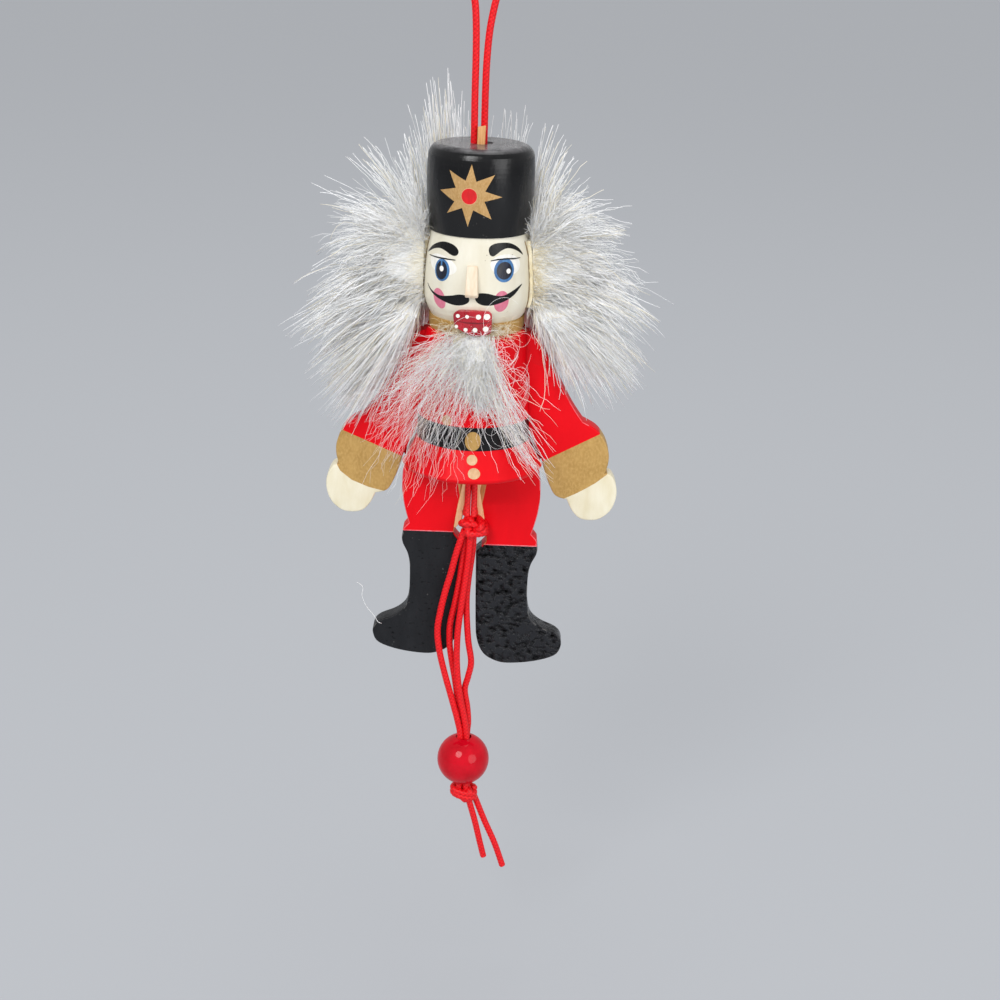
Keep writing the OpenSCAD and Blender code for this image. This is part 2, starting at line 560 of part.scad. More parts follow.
knot_fullness_share = 0.7;
module wound_knot(at, r, half) translate([at[0] - half, at[1], at[2]]) rotate([0, 90, 0])
    rotate_extrude($fn = 32) polygon(concat([[0, 0]],
        [for (i = [1:11]) let (a = 180 * i / 12) [r * pow(sin(a), knot_fullness_share), half * (1 - cos(a))]],
        [[0, 2 * half]]));
module crotch_knot() color("red") wound_knot(crotch_knot_at, crotch_knot_r, crotch_knot_half);
module bead_knot() color("red") wound_knot(bead_knot_at, bead_knot_r, bead_knot_half);

module pull_cord_1() color("red") tube(pull_route_1, cord_r);
module pull_cord_2() color("red") tube(pull_route_2, cord_r);
module pull_cord_3() color("red") tube(pull_route_3, cord_r);
module pull_cord_4() color("red") tube(pull_route_4, cord_r);

module pull_bead() color("crimson") translate([0, bead_y, bead_z]) difference() {
    sphere(r = bead_r);
    translate([0, 0, -bead_r - over]) cylinder(h = 2 * (bead_r + over), r = bead_bore_r);
}

torso();
head();
hat();
neck_dowel();
hat_peg();
nose();
mouth_plate();
hair_band();
hair();
beard_patch();
beard();
hanger_cord();
shoulder_pin_left();
shoulder_pin_right();
hip_pin_left();
hip_pin_right();
arm_left();
arm_right();
leg_left();
leg_right();
arm_knot_left();
arm_knot_right();
leg_knot_left();
leg_knot_right();
arm_string_left();
arm_string_right();
leg_string_left();
leg_string_right();
crotch_knot();
pull_cord_1();
pull_cord_2();
pull_cord_3();
pull_cord_4();
pull_bead();
bead_knot();
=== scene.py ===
import math
import bmesh
import bpy
import numpy as np
from mathutils import Matrix, Vector, noise
from mathutils.bvhtree import BVHTree


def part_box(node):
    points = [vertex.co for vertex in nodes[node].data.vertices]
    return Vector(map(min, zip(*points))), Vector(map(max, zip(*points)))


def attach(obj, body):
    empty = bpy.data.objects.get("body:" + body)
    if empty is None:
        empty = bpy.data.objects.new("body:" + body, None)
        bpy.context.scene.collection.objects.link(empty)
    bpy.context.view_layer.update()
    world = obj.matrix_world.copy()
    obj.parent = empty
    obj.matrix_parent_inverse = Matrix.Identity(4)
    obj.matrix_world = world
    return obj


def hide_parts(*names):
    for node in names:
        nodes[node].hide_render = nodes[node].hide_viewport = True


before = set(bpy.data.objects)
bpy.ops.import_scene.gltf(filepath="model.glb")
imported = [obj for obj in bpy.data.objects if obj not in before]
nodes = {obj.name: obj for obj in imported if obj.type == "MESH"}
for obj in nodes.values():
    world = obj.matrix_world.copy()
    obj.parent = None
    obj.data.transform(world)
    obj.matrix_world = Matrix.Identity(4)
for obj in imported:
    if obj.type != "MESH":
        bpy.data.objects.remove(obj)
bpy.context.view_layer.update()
mm = 0.001

print("camera")
cameraView = {
    "place": (6.67, -368.65, 19.16),  # mm, straight in front and a little above the hat
    "down": 20.5,  # degrees below the horizon
    "roll": 2.1,
    "lens": 61.2,
    "sensor": 36.0,
}


def addCamera(view):
    down, roll = math.radians(view["down"]), math.radians(view["roll"])
    ahead = Vector((0, math.cos(down), -math.sin(down)))
    side0, up0 = Vector((1, 0, 0)), Vector((0, math.sin(down), math.cos(down)))
    side = side0 * math.cos(roll) + up0 * math.sin(roll)
    up = up0 * math.cos(roll) - side0 * math.sin(roll)
    data = bpy.data.cameras.new("camera")
    data.lens, data.sensor_width = view["lens"], view["sensor"]
    data.clip_start, data.clip_end = 0.01, 20
    camera = bpy.data.objects.new("camera", data)
    bpy.context.scene.collection.objects.link(camera)
    turn = Matrix((side, up, -ahead)).transposed().to_4x4()
    camera.matrix_world = Matrix.Translation(Vector(view["place"]) * mm) @ turn
    bpy.context.scene.camera = camera


addCamera(cameraView)
bpy.context.scene.view_settings.view_transform = "Standard"

print("materials")


def linear(hexColour):
    parts = [int(hexColour[i:i + 2], 16) / 255 for i in (1, 3, 5)]
    return [p / 12.92 if p <= 0.04045 else ((p + 0.055) / 1.055) ** 2.4 for p in parts] + [1]


def addNode(mat, kind, links=None, **settings):
    # links gives each input a value, a hex colour, an output or a node, whose first output is meant
    node = mat.node_tree.nodes.new(kind)
    for key, value in settings.items():
        setattr(node, key, value)
    for key, value in (links or {}).items():
        if isinstance(value, bpy.types.Node):
            value = value.outputs[0]
        if isinstance(value, bpy.types.NodeSocket):
            mat.node_tree.links.new(value, node.inputs[key])
        else:
            node.inputs[key].default_value = linear(value) if isinstance(value, str) else value
    return node


look = {}  # every material by its name


def newMaterial(name, **values):
    mat = bpy.data.materials.new(name)
    mat.use_nodes = True
    shader = mat.node_tree.nodes["Principled BSDF"]
    for key, value in values.items():
        shader.inputs[key.replace("_", " ")].default_value = value
    look[name] = mat
    return mat, shader


def place(mat, stretch=(1, 1, 1)):
    coords = addNode(mat, "ShaderNodeTexCoord")
    return addNode(mat, "ShaderNodeMapping", {"Vector": coords.outputs["Object"], "Scale": stretch})


def perMm(size):
    return 1000 / size  # scale of a pattern whose features are this many mm apart


def speckle(mat, where, size, low, high, detail=3.0):
    grain = addNode(mat, "ShaderNodeTexNoise", {"Vector": where, "Scale": perMm(size), "Detail": detail})
    return addNode(mat, "ShaderNodeMapRange", {"Value": grain, "From Min": low, "From Max": high})


def mottled(mat, where, size, low, high, first, second, detail=3.0):
    # a second colour in specks over a first one, which may also be a node
    amount = speckle(mat, where, size, low, high, detail)
    return addNode(mat, "ShaderNodeMixRGB", {"Fac": amount, "Color1": first, "Color2": second}), amount


def feed(mat, shader, **values):
    for key, value in values.items():
        mat.node_tree.links.new(value.outputs[0], shader.inputs[key.replace("_", " ")])


def paintedWood(name, colour, shade, roughness, patch, brush, relief, gloss=0.5, coat=0.0, specks=None,
                lumps=None):
    # brushed enamel on wood: an even colour, faint brush marks and a film that dries a little uneven
    mat, shader = newMaterial(name, Roughness=roughness, IOR=1.5, Coat_Weight=coat, Coat_Roughness=0.12,
                              Specular_IOR_Level=gloss)
    where = place(mat, (1, 1, 0.35))
    tint, _ = mottled(mat, where, patch, 0.35, 0.7, colour, shade)
    if specks:
        tint, _ = mottled(mat, place(mat), specks["size"], 0.73, 0.77, tint, specks["colour"], 2.0)
    marks = speckle(mat, where, brush, 0.3, 0.7, 4.0)
    sheen = addNode(mat, "ShaderNodeMapRange", {"Value": marks, "To Min": roughness - 0.05,
                                                "To Max": roughness + 0.08})
    bump = addNode(mat, "ShaderNodeBump", {"Height": marks, "Strength": relief, "Distance": 0.0001})
    if lumps:
        # lumps of thick paint dragged sideways by the brush, dull creases between them, darkened as painted
        # shade
        high = speckle(mat, place(mat, (1, 1, 1.35)), lumps["size"], *lumps["steep"], 4.0)
        tint = addNode(mat, "ShaderNodeMixRGB", {"Fac": high, "Color1": "#030303", "Color2": tint})
        shine = addNode(mat, "ShaderNodeMapRange", {"Value": high, "To Min": 0.02, "To Max": gloss})
        feed(mat, shader, Specular_IOR_Level=shine)
        settings = {"Height": high, "Strength": 1.0, "Distance": lumps["deep"] * mm}
        feed(mat, bump, Normal=addNode(mat, "ShaderNodeBump", settings))
    feed(mat, shader, Base_Color=tint, Roughness=sheen, Normal=bump)


# each paint's colour, second tone, roughness, patches and brush marks in mm, relief, and what else the film has
paints = {
    # fresh signal red, satin and very even, and paler pink on the rims: worn thin, with a painted highlight
    "redEnamel": ("#E60516", "#DA0312", 0.42, 6, 0.5, 0.12, {"gloss": 0.14}),
    "wornRedHighlight": ("#F0838C", "#E2404C", 0.5, 1.2, 0.4, 0.3, {}),
    # cream face paint with small stains, and the thick ivory dip on the hands
    "creamEnamel": ("#E7E2D1", "#DFD8C3", 0.42, 3, 0.6, 0.2, {"specks": {"colour": "#8A7C66", "size": 0.9}}),
    "ivoryEnamel": ("#EBE4CC", "#E0D6B6", 0.4, 2.5, 0.7, 0.25, {}),
    # satin black of the hat, with pale dust and rubbed spots
    "blackSatin": ("#070708", "#0E0E10", 0.2, 3, 0.8, 0.15,
                   {"gloss": 0.36, "specks": {"colour": "#4C4A47", "size": 0.8}}),
    # black gloss of the boots, a brushed coat; the right one's went on thick and half dry and tore into lumps
    "blackBoot": ("#17181B", "#1E1F22", 0.36, 2.5, 0.45, 0.5,
                  {"gloss": 0.22, "specks": {"colour": "#5A5A58", "size": 0.7},
                   "lumps": {"size": 0.9, "deep": 0.07, "steep": (0.2, 0.4)}}),
    "blackLumped": ("#14151A", "#1B1C20", 0.26, 2.5, 0.6, 0.3,
                    {"gloss": 0.34, "lumps": {"size": 1.5, "deep": 0.34, "steep": (0.3, 0.54)}}),
    # black edges rubbed down to a dull grey, with a painted highlight
    "wornBlackHighlight": ("#5E5C59", "#2A2A2B", 0.5, 1.0, 0.4, 0.3, {}),
    # lines of the face and the belt
    "blackLine": ("#050506", "#0B0B0D", 0.3, 1.5, 0.5, 0.2, {"gloss": 0.28}),
    # wine red lacquer of the mouth piece and the darker line across it
    "mouthGloss": ("#B80720", "#93041A", 0.28, 1.6, 0.6, 0.2, {"coat": 0.4}),
    "lipLine": ("#7E0316", "#6A0212", 0.4, 1, 0.5, 0.2, {}),
    # thin dabs from a small brush
    "whiteDab": ("#F6F4EE", "#E9E6DD", 0.35, 1, 0.4, 0.3, {}),
    "blueIris": ("#275A8E", "#4A80B4", 0.35, 1.2, 0.5, 0.15, {}),
    "inkPupil": ("#0A0D18", "#131C36", 0.3, 1.2, 0.5, 0.15, {}),
    "pinkCheek": ("#DA7F95", "#CF6B84", 0.45, 0.8, 0.4, 0.2, {}),
    "redDot": ("#DE1018", "#C80A12", 0.35, 1, 0.4, 0.2, {}),
    "peachDab": ("#DDB48A", "#C99B6C", 0.45, 0.8, 0.4, 0.3, {}),
}
for name, (*film, extras) in paints.items():
    paintedWood(name, *film, **extras)


def rubbedCrown(mat, foot, top):
    # the hat's flat top is rubbed grey, between these heights in m
    shader = mat.node_tree.nodes["Principled BSDF"]
    paint = shader.inputs["Base Color"].links[0].from_socket
    split = addNode(mat, "ShaderNodeSeparateXYZ", {"Vector": place(mat)})
    high = addNode(mat, "ShaderNodeMapRange", {"Value": split.outputs["Z"], "From Min": foot, "From Max": top})
    rubs = speckle(mat, place(mat), 2.2, 0.25, 0.6)
    wear = addNode(mat, "ShaderNodeMath", {0: high, 1: rubs}, operation="MULTIPLY")
    tint = addNode(mat, "ShaderNodeMixRGB", {"Fac": wear, "Color1": paint, "Color2": "#6A686A"})
    feed(mat, shader, Base_Color=tint)


hatCrown = {"foot": -0.0379, "top": -0.0369}
rubbedCrown(look["blackSatin"], **hatCrown)


def bronzeMade(name, colour, shade, glint, metal, patch, flake):
    # bronze powder paint: matt and mottled where the flakes lie unevenly over the grain
    mat, shader = newMaterial(name, Metallic=metal, Roughness=0.5)
    where = place(mat, (1, 1, 0.6))
    base, coarse = mottled(mat, where, patch, 0.35, 0.68, colour, shade, 5.0)
    tint, _ = mottled(mat, where, flake, 0.4, 0.75, base, glint, 2.0)
    bump = addNode(mat, "ShaderNodeBump", {"Height": coarse, "Strength": 0.35, "Distance": 0.0001})
    feed(mat, shader, Base_Color=tint, Normal=bump)


bronzeMade("bronzeCuff", "#BF9855", "#AE8745", "#C9A362", 0.2, 2.4, 0.5)
bronzeMade("bronzeStar", "#C29A62", "#B58B50", "#CFAA74", 0.3, 1.2, 0.3)


def bareMade(name, colour, shade, grain):
    # cut birch left bare: straight fine grain along Z, dry and matt
    mat, shader = newMaterial(name, Roughness=0.7, IOR=1.45)
    tint, lines = mottled(mat, place(mat, (1, 1, 0.08)), grain, 0.3, 0.7, colour, shade, 4.0)
    bump = addNode(mat, "ShaderNodeBump", {"Height": lines, "Strength": 0.4, "Distance": 0.0001})
    feed(mat, shader, Base_Color=tint, Normal=bump)


bareMade("bareBirch", "#E0AC74", "#C98A50", 0.4)
# a lighter copy of the bare birch for the strips on the trousers' inner edges: painted light for the shade they
# sit in
bareMade("birchPaintedLighter", "#FBD6A8", "#E8B67F", 0.4)
bareMade("paleNose", "#EADCC6", "#DFC5A6", 1.1)


def nylonMade(name, colour, shade, dipShadeColour, topHighlightColour):
    # braided nylon: shiny filaments along each strand, so a low roughness and a fine ribbing
    mat, shader = newMaterial(name, Roughness=0.45, IOR=1.53, Specular_IOR_Level=0.3)
    tint, _ = mottled(mat, place(mat), 0.5, 0.35, 0.65, colour, shade)
    # painted highlight and painted shade: the braid's bump tops are mixed lighter, the dips between them darker
    high = addNode(mat, "ShaderNodeAttribute", attribute_name="stitchHeight").outputs["Fac"]
    for low, full, amount, tone in ((0.72, 0.95, 0.28, topHighlightColour), (0.5, 0.12, 0.6, dipShadeColour)):
        part = addNode(mat, "ShaderNodeMapRange", {"Value": high, "From Min": low, "From Max": full,
                                                   "To Max": amount})
        tint = addNode(mat, "ShaderNodeMixRGB", {"Fac": part, "Color1": tint, "Color2": tone})
    # real filaments are 0.02 mm, drawn at 0.12 mm so that they show
    ribs = speckle(mat, place(mat, (1, 1, 0.3)), 0.12, 0.35, 0.65, 1.0)
    bump = addNode(mat, "ShaderNodeBump", {"Height": ribs, "Strength": 0.3, "Distance": 0.00005})
    feed(mat, shader, Base_Color=tint, Normal=bump)


# the last two colours are the painted shade of the dips and the painted highlight of the tops
nylonMade("redNylon", "#F00C18", "#DE0310", "#A00512", "#FF5C62")

# acrylic pile: smooth bright white filaments with a soft highlight
acrylicPile = {"acrylicPileWhite": ("#FFFFFF", "#F8F9FA"), "acrylicPileSilver": ("#F0F0EF", "#E5E6E6"),
               "acrylicPileIvory": ("#F6F0E0", "#EDE6D2")}
for name, tones in acrylicPile.items():
    mat, shader = newMaterial(name, Roughness=0.42, IOR=1.5, Sheen_Weight=0.5, Sheen_Roughness=0.4)
    feed(mat, shader, Base_Color=mottled(mat, place(mat), 4, 0.35, 0.7, *tones)[0])


def mattedDown(name, streak, lastCream, firstCream):
    # soft undercoat of the pile: matted filaments too fine to show, drawn as streaks that run outwards,
    # and cream near the backing; streak in mm, the rest in m from the middle
    mat, shader = newMaterial(name, Roughness=0.8, Sheen_Weight=0.4, Sheen_Roughness=0.5)
    spot = addNode(mat, "ShaderNodeSeparateXYZ", {"Vector": place(mat)})
    aside = addNode(mat, "ShaderNodeMath", {0: spot.outputs["X"]}, operation="ABSOLUTE")
    up = addNode(mat, "ShaderNodeMath", {0: spot.outputs["Z"], 1: 0.066}, operation="ADD")
    turn = addNode(mat, "ShaderNodeMath", {0: up, 1: aside}, operation="ARCTAN2")
    value = {axis: addNode(mat, "ShaderNodeMath", {0: source, 1: scale}, operation="MULTIPLY")
             for axis, source, scale in (("X", turn, 0.019), ("Z", aside, 0.12))}
    along = addNode(mat, "ShaderNodeCombineXYZ", {"Y": spot.outputs["Y"], **value})
    tint, streaks = mottled(mat, along, streak, 0.3, 0.7, "#FFFFFD", "#E9EAE9", 4.0)
    flat = addNode(mat, "ShaderNodeVectorMath", {0: place(mat, (1, 1, 0))}, operation="LENGTH")
    cream = addNode(mat, "ShaderNodeMapRange", {"Value": flat.outputs["Value"], "From Min": lastCream,
                                                "From Max": firstCream, "To Max": 0.7})
    tint = addNode(mat, "ShaderNodeMixRGB", {"Fac": cream, "Color1": tint, "Color2": "#EFE6CC"})
    bump = addNode(mat, "ShaderNodeBump", {"Height": streaks, "Strength": 0.6, "Distance": 0.0003})
    feed(mat, shader, Base_Color=tint, Normal=bump)


mattedDown("acrylicDown", 0.5, 0.0165, 0.0125)

# the matted middle of the beard: fine curled filaments, drawn at about 1 mm so that they show
mat, shader = newMaterial("beardFloss", Roughness=0.8, Sheen_Weight=0.4, Sheen_Roughness=0.5)
tangle = addNode(mat, "ShaderNodeTexNoise", {"Vector": place(mat), "Scale": perMm(1.1), "Detail": 5.0,
                                             "Distortion": 2.5})
tone = addNode(mat, "ShaderNodeMapRange", {"Value": tangle, "From Min": 0.38, "From Max": 0.62})
tint = addNode(mat, "ShaderNodeMixRGB", {"Fac": tone, "Color1": "#F1F0E9", "Color2": "#FFFFFD"})
bump = addNode(mat, "ShaderNodeBump", {"Height": tone, "Strength": 0.3, "Distance": 0.0003})
feed(mat, shader, Base_Color=tint, Normal=bump)

# knitted backing of the pile: dull cream, ribbed loops of about 0.6 mm
mat, shader = newMaterial("knitBacking", Roughness=0.9, Sheen_Weight=0.3)
knitLoops = addNode(mat, "ShaderNodeTexVoronoi", {"Vector": place(mat), "Scale": perMm(0.6)})
bump = addNode(mat, "ShaderNodeBump", {"Height": knitLoops, "Strength": 0.6, "Distance": 0.0002})
feed(mat, shader, Base_Color=mottled(mat, place(mat), 1.5, 0.35, 0.7, "#F1E9D0", "#E6D8B0")[0], Normal=bump)

# dried glue along the backing's edge, brown and a little shiny
mat, shader = newMaterial("hideGlue", Roughness=0.35)
feed(mat, shader, Base_Color=mottled(mat, place(mat), 0.8, 0.3, 0.7, "#6E5638", "#9A8257")[0])

# cut steel wire of the pins, drawn along its length
mat, shader = newMaterial("steelWire", Metallic=1.0, Roughness=0.3)
feed(mat, shader, Base_Color=mottled(mat, place(mat, (1, 0.1, 1)), 0.3, 0.3, 0.7, "#B9BBBE", "#8F9194")[0])

# poured red lacquer on the bead: a hard clear gloss over a colour with faint ripples
mat, shader = newMaterial("beadGloss", Roughness=0.3, IOR=1.5, Specular_IOR_Level=0.03, Coat_Weight=0.36,
                          Coat_Roughness=0.03)
ripples = speckle(mat, place(mat), 2.2, 0.2, 0.8, 1.0)
bump = addNode(mat, "ShaderNodeBump", {"Height": ripples, "Strength": 0.12, "Distance": 0.0003})
feed(mat, shader, Base_Color=mottled(mat, place(mat), 3, 0.3, 0.7, "#CF0820", "#B80318")[0], Normal=bump)


def curveAt(a, b, c, d, t):
    # Catmull-Rom, from b to c as t goes from 0 to 1
    return 0.5 * (2 * b + (c - a) * t + (2 * a - 5 * b + 4 * c - d) * t ** 2
                  + (3 * b - a - 3 * c + d) * t ** 3)


def quadsBetween(rings, sides, first=0, closed=True):
    # the faces between rings of points that follow each other in a list
    faces = []
    for low in range(first, first + (rings - 1) * sides, sides):
        for k in range(sides if closed else sides - 1):
            a, b = low + k, low + (k + 1) % sides
            faces.append((a, b, b + sides, a + sides))
    return faces


def linkObject(name, mesh, materials):
    made = bpy.data.objects.new(name, mesh)
    bpy.context.scene.collection.objects.link(made)
    for mat in materials:
        mesh.materials.append(look[mat])
    return made


def dress(made, body, slot, *replaced):
    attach(made, body)
    if replaced:
        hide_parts(*replaced)
    return made


bothSides = ((-1, "left"), (1, "right"))

print("cords")
cordMade = {
    "diameter": 1.4,
    "stitch": 0.9,  # mm along the cord from one bump of the braid to the next in line
    "relief": 0.16,  # share of the radius by which the braid's bumps stand out
    "sides": 16,
    "ring": 0.12,  # mm from one ring of the tube to the next
}
hangerRoute = [(-1.7, 0.1, -48), (-1.7, 0.1, -42), (-1.7, 0.1, -37), (-1.75, 0.05, -31.5), (-1.8, 0, -26),
               (-1.8, 0, -20), (-1.9, 0, -14), (-2.2, 0, -9), (-2.8, 0, -5), (-2.9, 0, -2.4), (-2.4, 0, -0.6),
               (-1.3, 0, 0.4), (0, 0, 0.7), (1.3, 0, 0.4), (2.4, 0, -0.6), (2.9, 0, -2.4), (2.6, 0, -5),
               (1.7, 0, -9), (0.9, 0, -14), (0.5, 0, -20), (0.4, 0.3, -26), (0.4, 0.9, -31.5), (0.4, 1.3, -37),
               (0.4, 1.4, -42), (0.4, 1.4, -48)]
pullRoutes = [
    [(-1.5, -5, -125), (-2.9, -5, -130), (-4.1, -5, -135.3), (-5.3, -5, -140), (-6.3, -5, -145),
     (-6.9, -5, -150), (-6.3, -5, -155.5), (-4.9, -5, -161.5), (-3.1, -5, -168), (-1.5, -5, -174),
     (-0.8, -5.05, -178.5), (-0.75, -5.05, -190.4), (-1.3, -5, -193.5)],
    [(-0.9, -3.5, -125), (-1.4, -3.6, -131), (-2, -3.6, -137), (-2.9, -3.6, -143), (-4, -3.6, -149),
     (-4, -3.6, -154), (-3.4, -3.6, -158.5), (-2.5, -3.6, -163.5), (-1.6, -3.6, -170), (-0.9, -3.6, -176),
     (-0.75, -3.55, -180), (-0.75, -3.55, -190.4), (-1.3, -3.5, -193.5)],
    [(0.2, -5, -125), (-0.1, -5, -131), (-0.7, -5, -137), (-1.4, -5, -143), (-2.1, -5, -150),
     (-2.2, -5, -156.5), (-1.8, -5, -162.5), (-0.9, -5, -168.5), (0.2, -5, -174), (0.75, -5.05, -180),
     (0.75, -5.05, -190.4), (1.4, -5.05, -194), (3.3, -4.9, -201), (4.7, -4.7, -207), (5.8, -4.6, -211.5)],
    [(0.9, -3.5, -125), (0.7, -3.6, -130.5), (0, -3.6, -137), (-0.3, -3.6, -143.5), (0.3, -3.6, -152.5),
     (1.2, -3.6, -158.5), (0.6, -3.6, -162.5), (-0.1, -3.6, -166), (0.6, -3.6, -170.5), (0.95, -3.6, -174.5),
     (0.75, -3.55, -178.5), (0.75, -3.55, -190.4), (2.6, -3.5, -194), (5.6, -3.6, -201.5), (8.4, -3.7, -208),
     (10.6, -3.8, -214.4)],
]


def smoothRoute(points, step):
    # a smooth curve through the points, sampled evenly; points and step in mm
    p = np.array(points, float)
    p = np.vstack([2 * p[0] - p[1], p, 2 * p[-1] - p[-2]])
    fine = []
    for i in range(1, len(p) - 2):
        t = np.linspace(0, 1, 40, endpoint=False)[:, None]
        fine.append(curveAt(*p[i - 1:i + 3], t))
    fine = np.vstack(fine + [p[-2][None]])
    along = np.concatenate([[0], np.cumsum(np.linalg.norm(np.diff(fine, axis=0), axis=1))])
    count = max(2, int(round(along[-1] / step)))
    at = np.linspace(0, along[-1], count + 1)
    return np.stack([np.interp(at, along, fine[:, k]) for k in range(3)], 1), along[-1]


def meshObject(name, vertices, faces, materials):
    mesh = bpy.data.meshes.new(name)
    mesh.from_pydata([tuple(v) for v in vertices], [], faces)
    mesh.update()
    mesh.polygons.foreach_set("use_smooth", [True] * len(mesh.polygons))
    return linkObject(name, mesh, materials)


def braidRings(route, cord, taper=0.35):
    # rings of the braid: four rows of bumps, staggered as the crossing strands leave them
    points, length = smoothRoute(route, cord["ring"])
    ahead = np.gradient(points, axis=0)
    ahead /= np.linalg.norm(ahead, axis=1)[:, None]
    normal = np.cross(ahead[0], (0.31, 0.83, 0.46))
    around = np.linspace(0, 2 * math.pi, cord["sides"], endpoint=False)
    vertices, heights, run = [], [], 0.0
    for i, (centre, t) in enumerate(zip(points, ahead)):
        normal = normal - t * np.dot(normal, t)
        normal /= np.linalg.norm(normal)
        other = np.cross(t, normal)
        phase = 2 * math.pi * run / cord["stitch"]
        bumps = np.cos(4 * around) * math.cos(phase)
        radius = cord["diameter"] / 2 * (1 + cord["relief"] * 0.5 * (1 + bumps))
        end = min(run, length - run)
        if end < taper:
            radius = radius * (0.55 + 0.45 * math.sqrt(max(0.0, 1 - (1 - end / taper) ** 2)))
        vertices.append(centre + radius[:, None] * (np.cos(around)[:, None] * normal
                                                    + np.sin(around)[:, None] * other))
        heights.append(0.5 + 0.5 * bumps)
        run += cord["ring"] if i + 1 < len(points) else 0
    return np.vstack(vertices), np.concatenate(heights), points, length


def braidMesh(name, routes, cord, mat):
    # one mesh of all the routes, with the bumps' height for the look; also the last route's points and length
    vertices, heights, faces, base = [], [], [], 0
    sides = cord["sides"]
    for route in routes:
        rings, high, points, length = braidRings(route, cord)
        faces += quadsBetween(len(points), sides, base)
        faces.append(tuple(base + k for k in reversed(range(sides))))
        faces.append(tuple(base + len(rings) - sides + k for k in range(sides)))
        vertices.append(rings)
        heights.append(high)
        base += len(rings)
    made = meshObject(name, np.vstack(vertices) * mm, faces, [mat])
    stitches = made.data.attributes.new("stitchHeight", "FLOAT", "POINT")
    stitches.data.foreach_set("value", np.concatenate(heights))
    return made, points, length


def freeCord(name, node, body, route):
    made, points, length = braidMesh(name, [route], cordMade, "redNylon")
    dress(made, body, "red_cord", node)
    print("  ", name, round(length, 1), "mm")


def knotRoute(at, size, turn, count=40):
    # an overhand knot's loop: size gives half its width, depth and height in mm
    c, s = math.cos(math.radians(turn)), math.sin(math.radians(turn))
    route = []
    for i in range(count):
        t = 2 * math.pi * i / count
        x, z, y = math.sin(t) + 2 * math.sin(2 * t), math.cos(t) - 2 * math.cos(2 * t), -math.sin(3 * t)
        x, z = (x * c - z * s) / 3, (x * s + z * c) / 3
        route.append((at[0] + size[0] * x, at[1] + size[1] * y, at[2] + size[2] * z))
    return route + route[:1]


def wrapRoute(at, size, turns, slant, count=22):
    # cord wound round a bundle: size gives half its width and depth and the height of all turns
    route = []
    for i in range(int(turns * count) + 1):
        t = 2 * math.pi * i / count
        x = size[0] * math.cos(t)
        route.append((at[0] + x, at[1] + size[1] * math.sin(t),
                      at[2] + size[2] * (0.5 - i / (turns * count)) + slant * x))
    return route


knotsWound = {
    # where the four strings gather under the skirt: three loops and a turn of cord round them
    "crotch": [knotRoute((0.5, -4.6, -123.6), (2.6, 1.7, 2.0), 12),
               knotRoute((1.0, -4.4, -123.9), (2.5, 1.5, 1.7), 100),
               wrapRoute((1.1, -4.6, -124.9), (2.5, 1.6, 1.2), 1.4, 0.1),
               knotRoute((-0.6, -4.9, -122.7), (1.2, 0.7, 1.1), 30)],
    # under the bead
    "bead": [wrapRoute((0.4, -4.3, -193.3), (2.6, 1.75, 2.5), 2.3, -0.14),
             knotRoute((0.5, -4.3, -193.6), (2.3, 1.5, 1.5), 40)],
}
for kind, routes in knotsWound.items():
    wound = braidMesh(f"{kind}KnotWound", routes, cordMade, "redNylon")[0]
    dress(wound, "pull", "red_cord", f"{kind}_knot")

freeCord("hangerCordBraid", "hanger_cord", "figure", hangerRoute)
for number, route in enumerate(pullRoutes, 1):
    freeCord(f"pullCordBraid{number}", f"pull_cord_{number}", "pull", route)

print("strings inside the body")
innerString = dict(cordMade, relief=0.06)
knotString = dict(cordMade, diameter=0.75, stitch=0.5)
stringRoutes = {  # x, y and z on the right; the first point is as high as the CAD string's top
    "arm": (4.6, [(0.75, -2, -94), (0.75, -2.1, -114), (0.75, -4.4, -121.6)]),
    "leg": (1.45, [(1.45, 0, -106), (0.75, -0.55, -113), (0.75, -0.6, -117), (1.1, -2.8, -121.8)]),
}
for side, label in bothSides:
    for kind, (startX, route) in stringRoutes.items():
        node = f"{kind}_string_{label}"
        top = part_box(node)[1].z / mm
        route = [(side * x, y, z) for x, y, z in [(startX, 0, top)] + route]
        string = braidMesh(f"{kind}StringBraid_{label}", [route], innerString, "redNylon")[0]
        dress(string, "pull", "red_cord", node)
        node = f"{kind}_knot_{label}"
        centre = [(a + b) / 2 / mm for a, b in zip(*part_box(node))]
        turns = knotRoute(centre, (0.75, 0.5, 0.75), 20 * side)
        knot = braidMesh(f"{kind}KnotWound_{label}", [turns], knotString, "redNylon")[0]
        dress(knot, f"{label}_{kind}", "red_cord", node)

print("turned wood")


def surfaceOf(node):
    mesh = nodes[node].data
    return BVHTree.FromPolygons([v.co for v in mesh.vertices], [p.vertices[:] for p in mesh.polygons])


def onSurface(skin, angle, z, lift, farOut=0.03, noHit=0.0117):
    # the point on a turned surface at this angle from the front; z and lift in mm
    way = Vector((math.sin(angle), -math.cos(angle), 0))
    hit = skin.ray_cast(way * farOut + Vector((0, 0, z * mm)), -way)[0]
    radius = Vector((hit.x, hit.y)).length if hit else noHit
    return way * (radius + lift * mm) + Vector((0, 0, z * mm))


def sharpen(bm, angle):
    for edge in bm.edges:
        edge.smooth = not (len(edge.link_faces) == 2 and edge.calc_face_angle(0) > math.radians(angle))
    for face in bm.faces:
        face.smooth = True


def newPiece(name, bm, materials, body, slot, *replaced):
    mesh = bpy.data.meshes.new(name)
    bm.to_mesh(mesh)
    bm.free()
    dress(linkObject(name, mesh, materials), body, slot, *replaced)


def edgeMiddle(edge):
    return (edge.verts[0].co + edge.verts[1].co) / 2


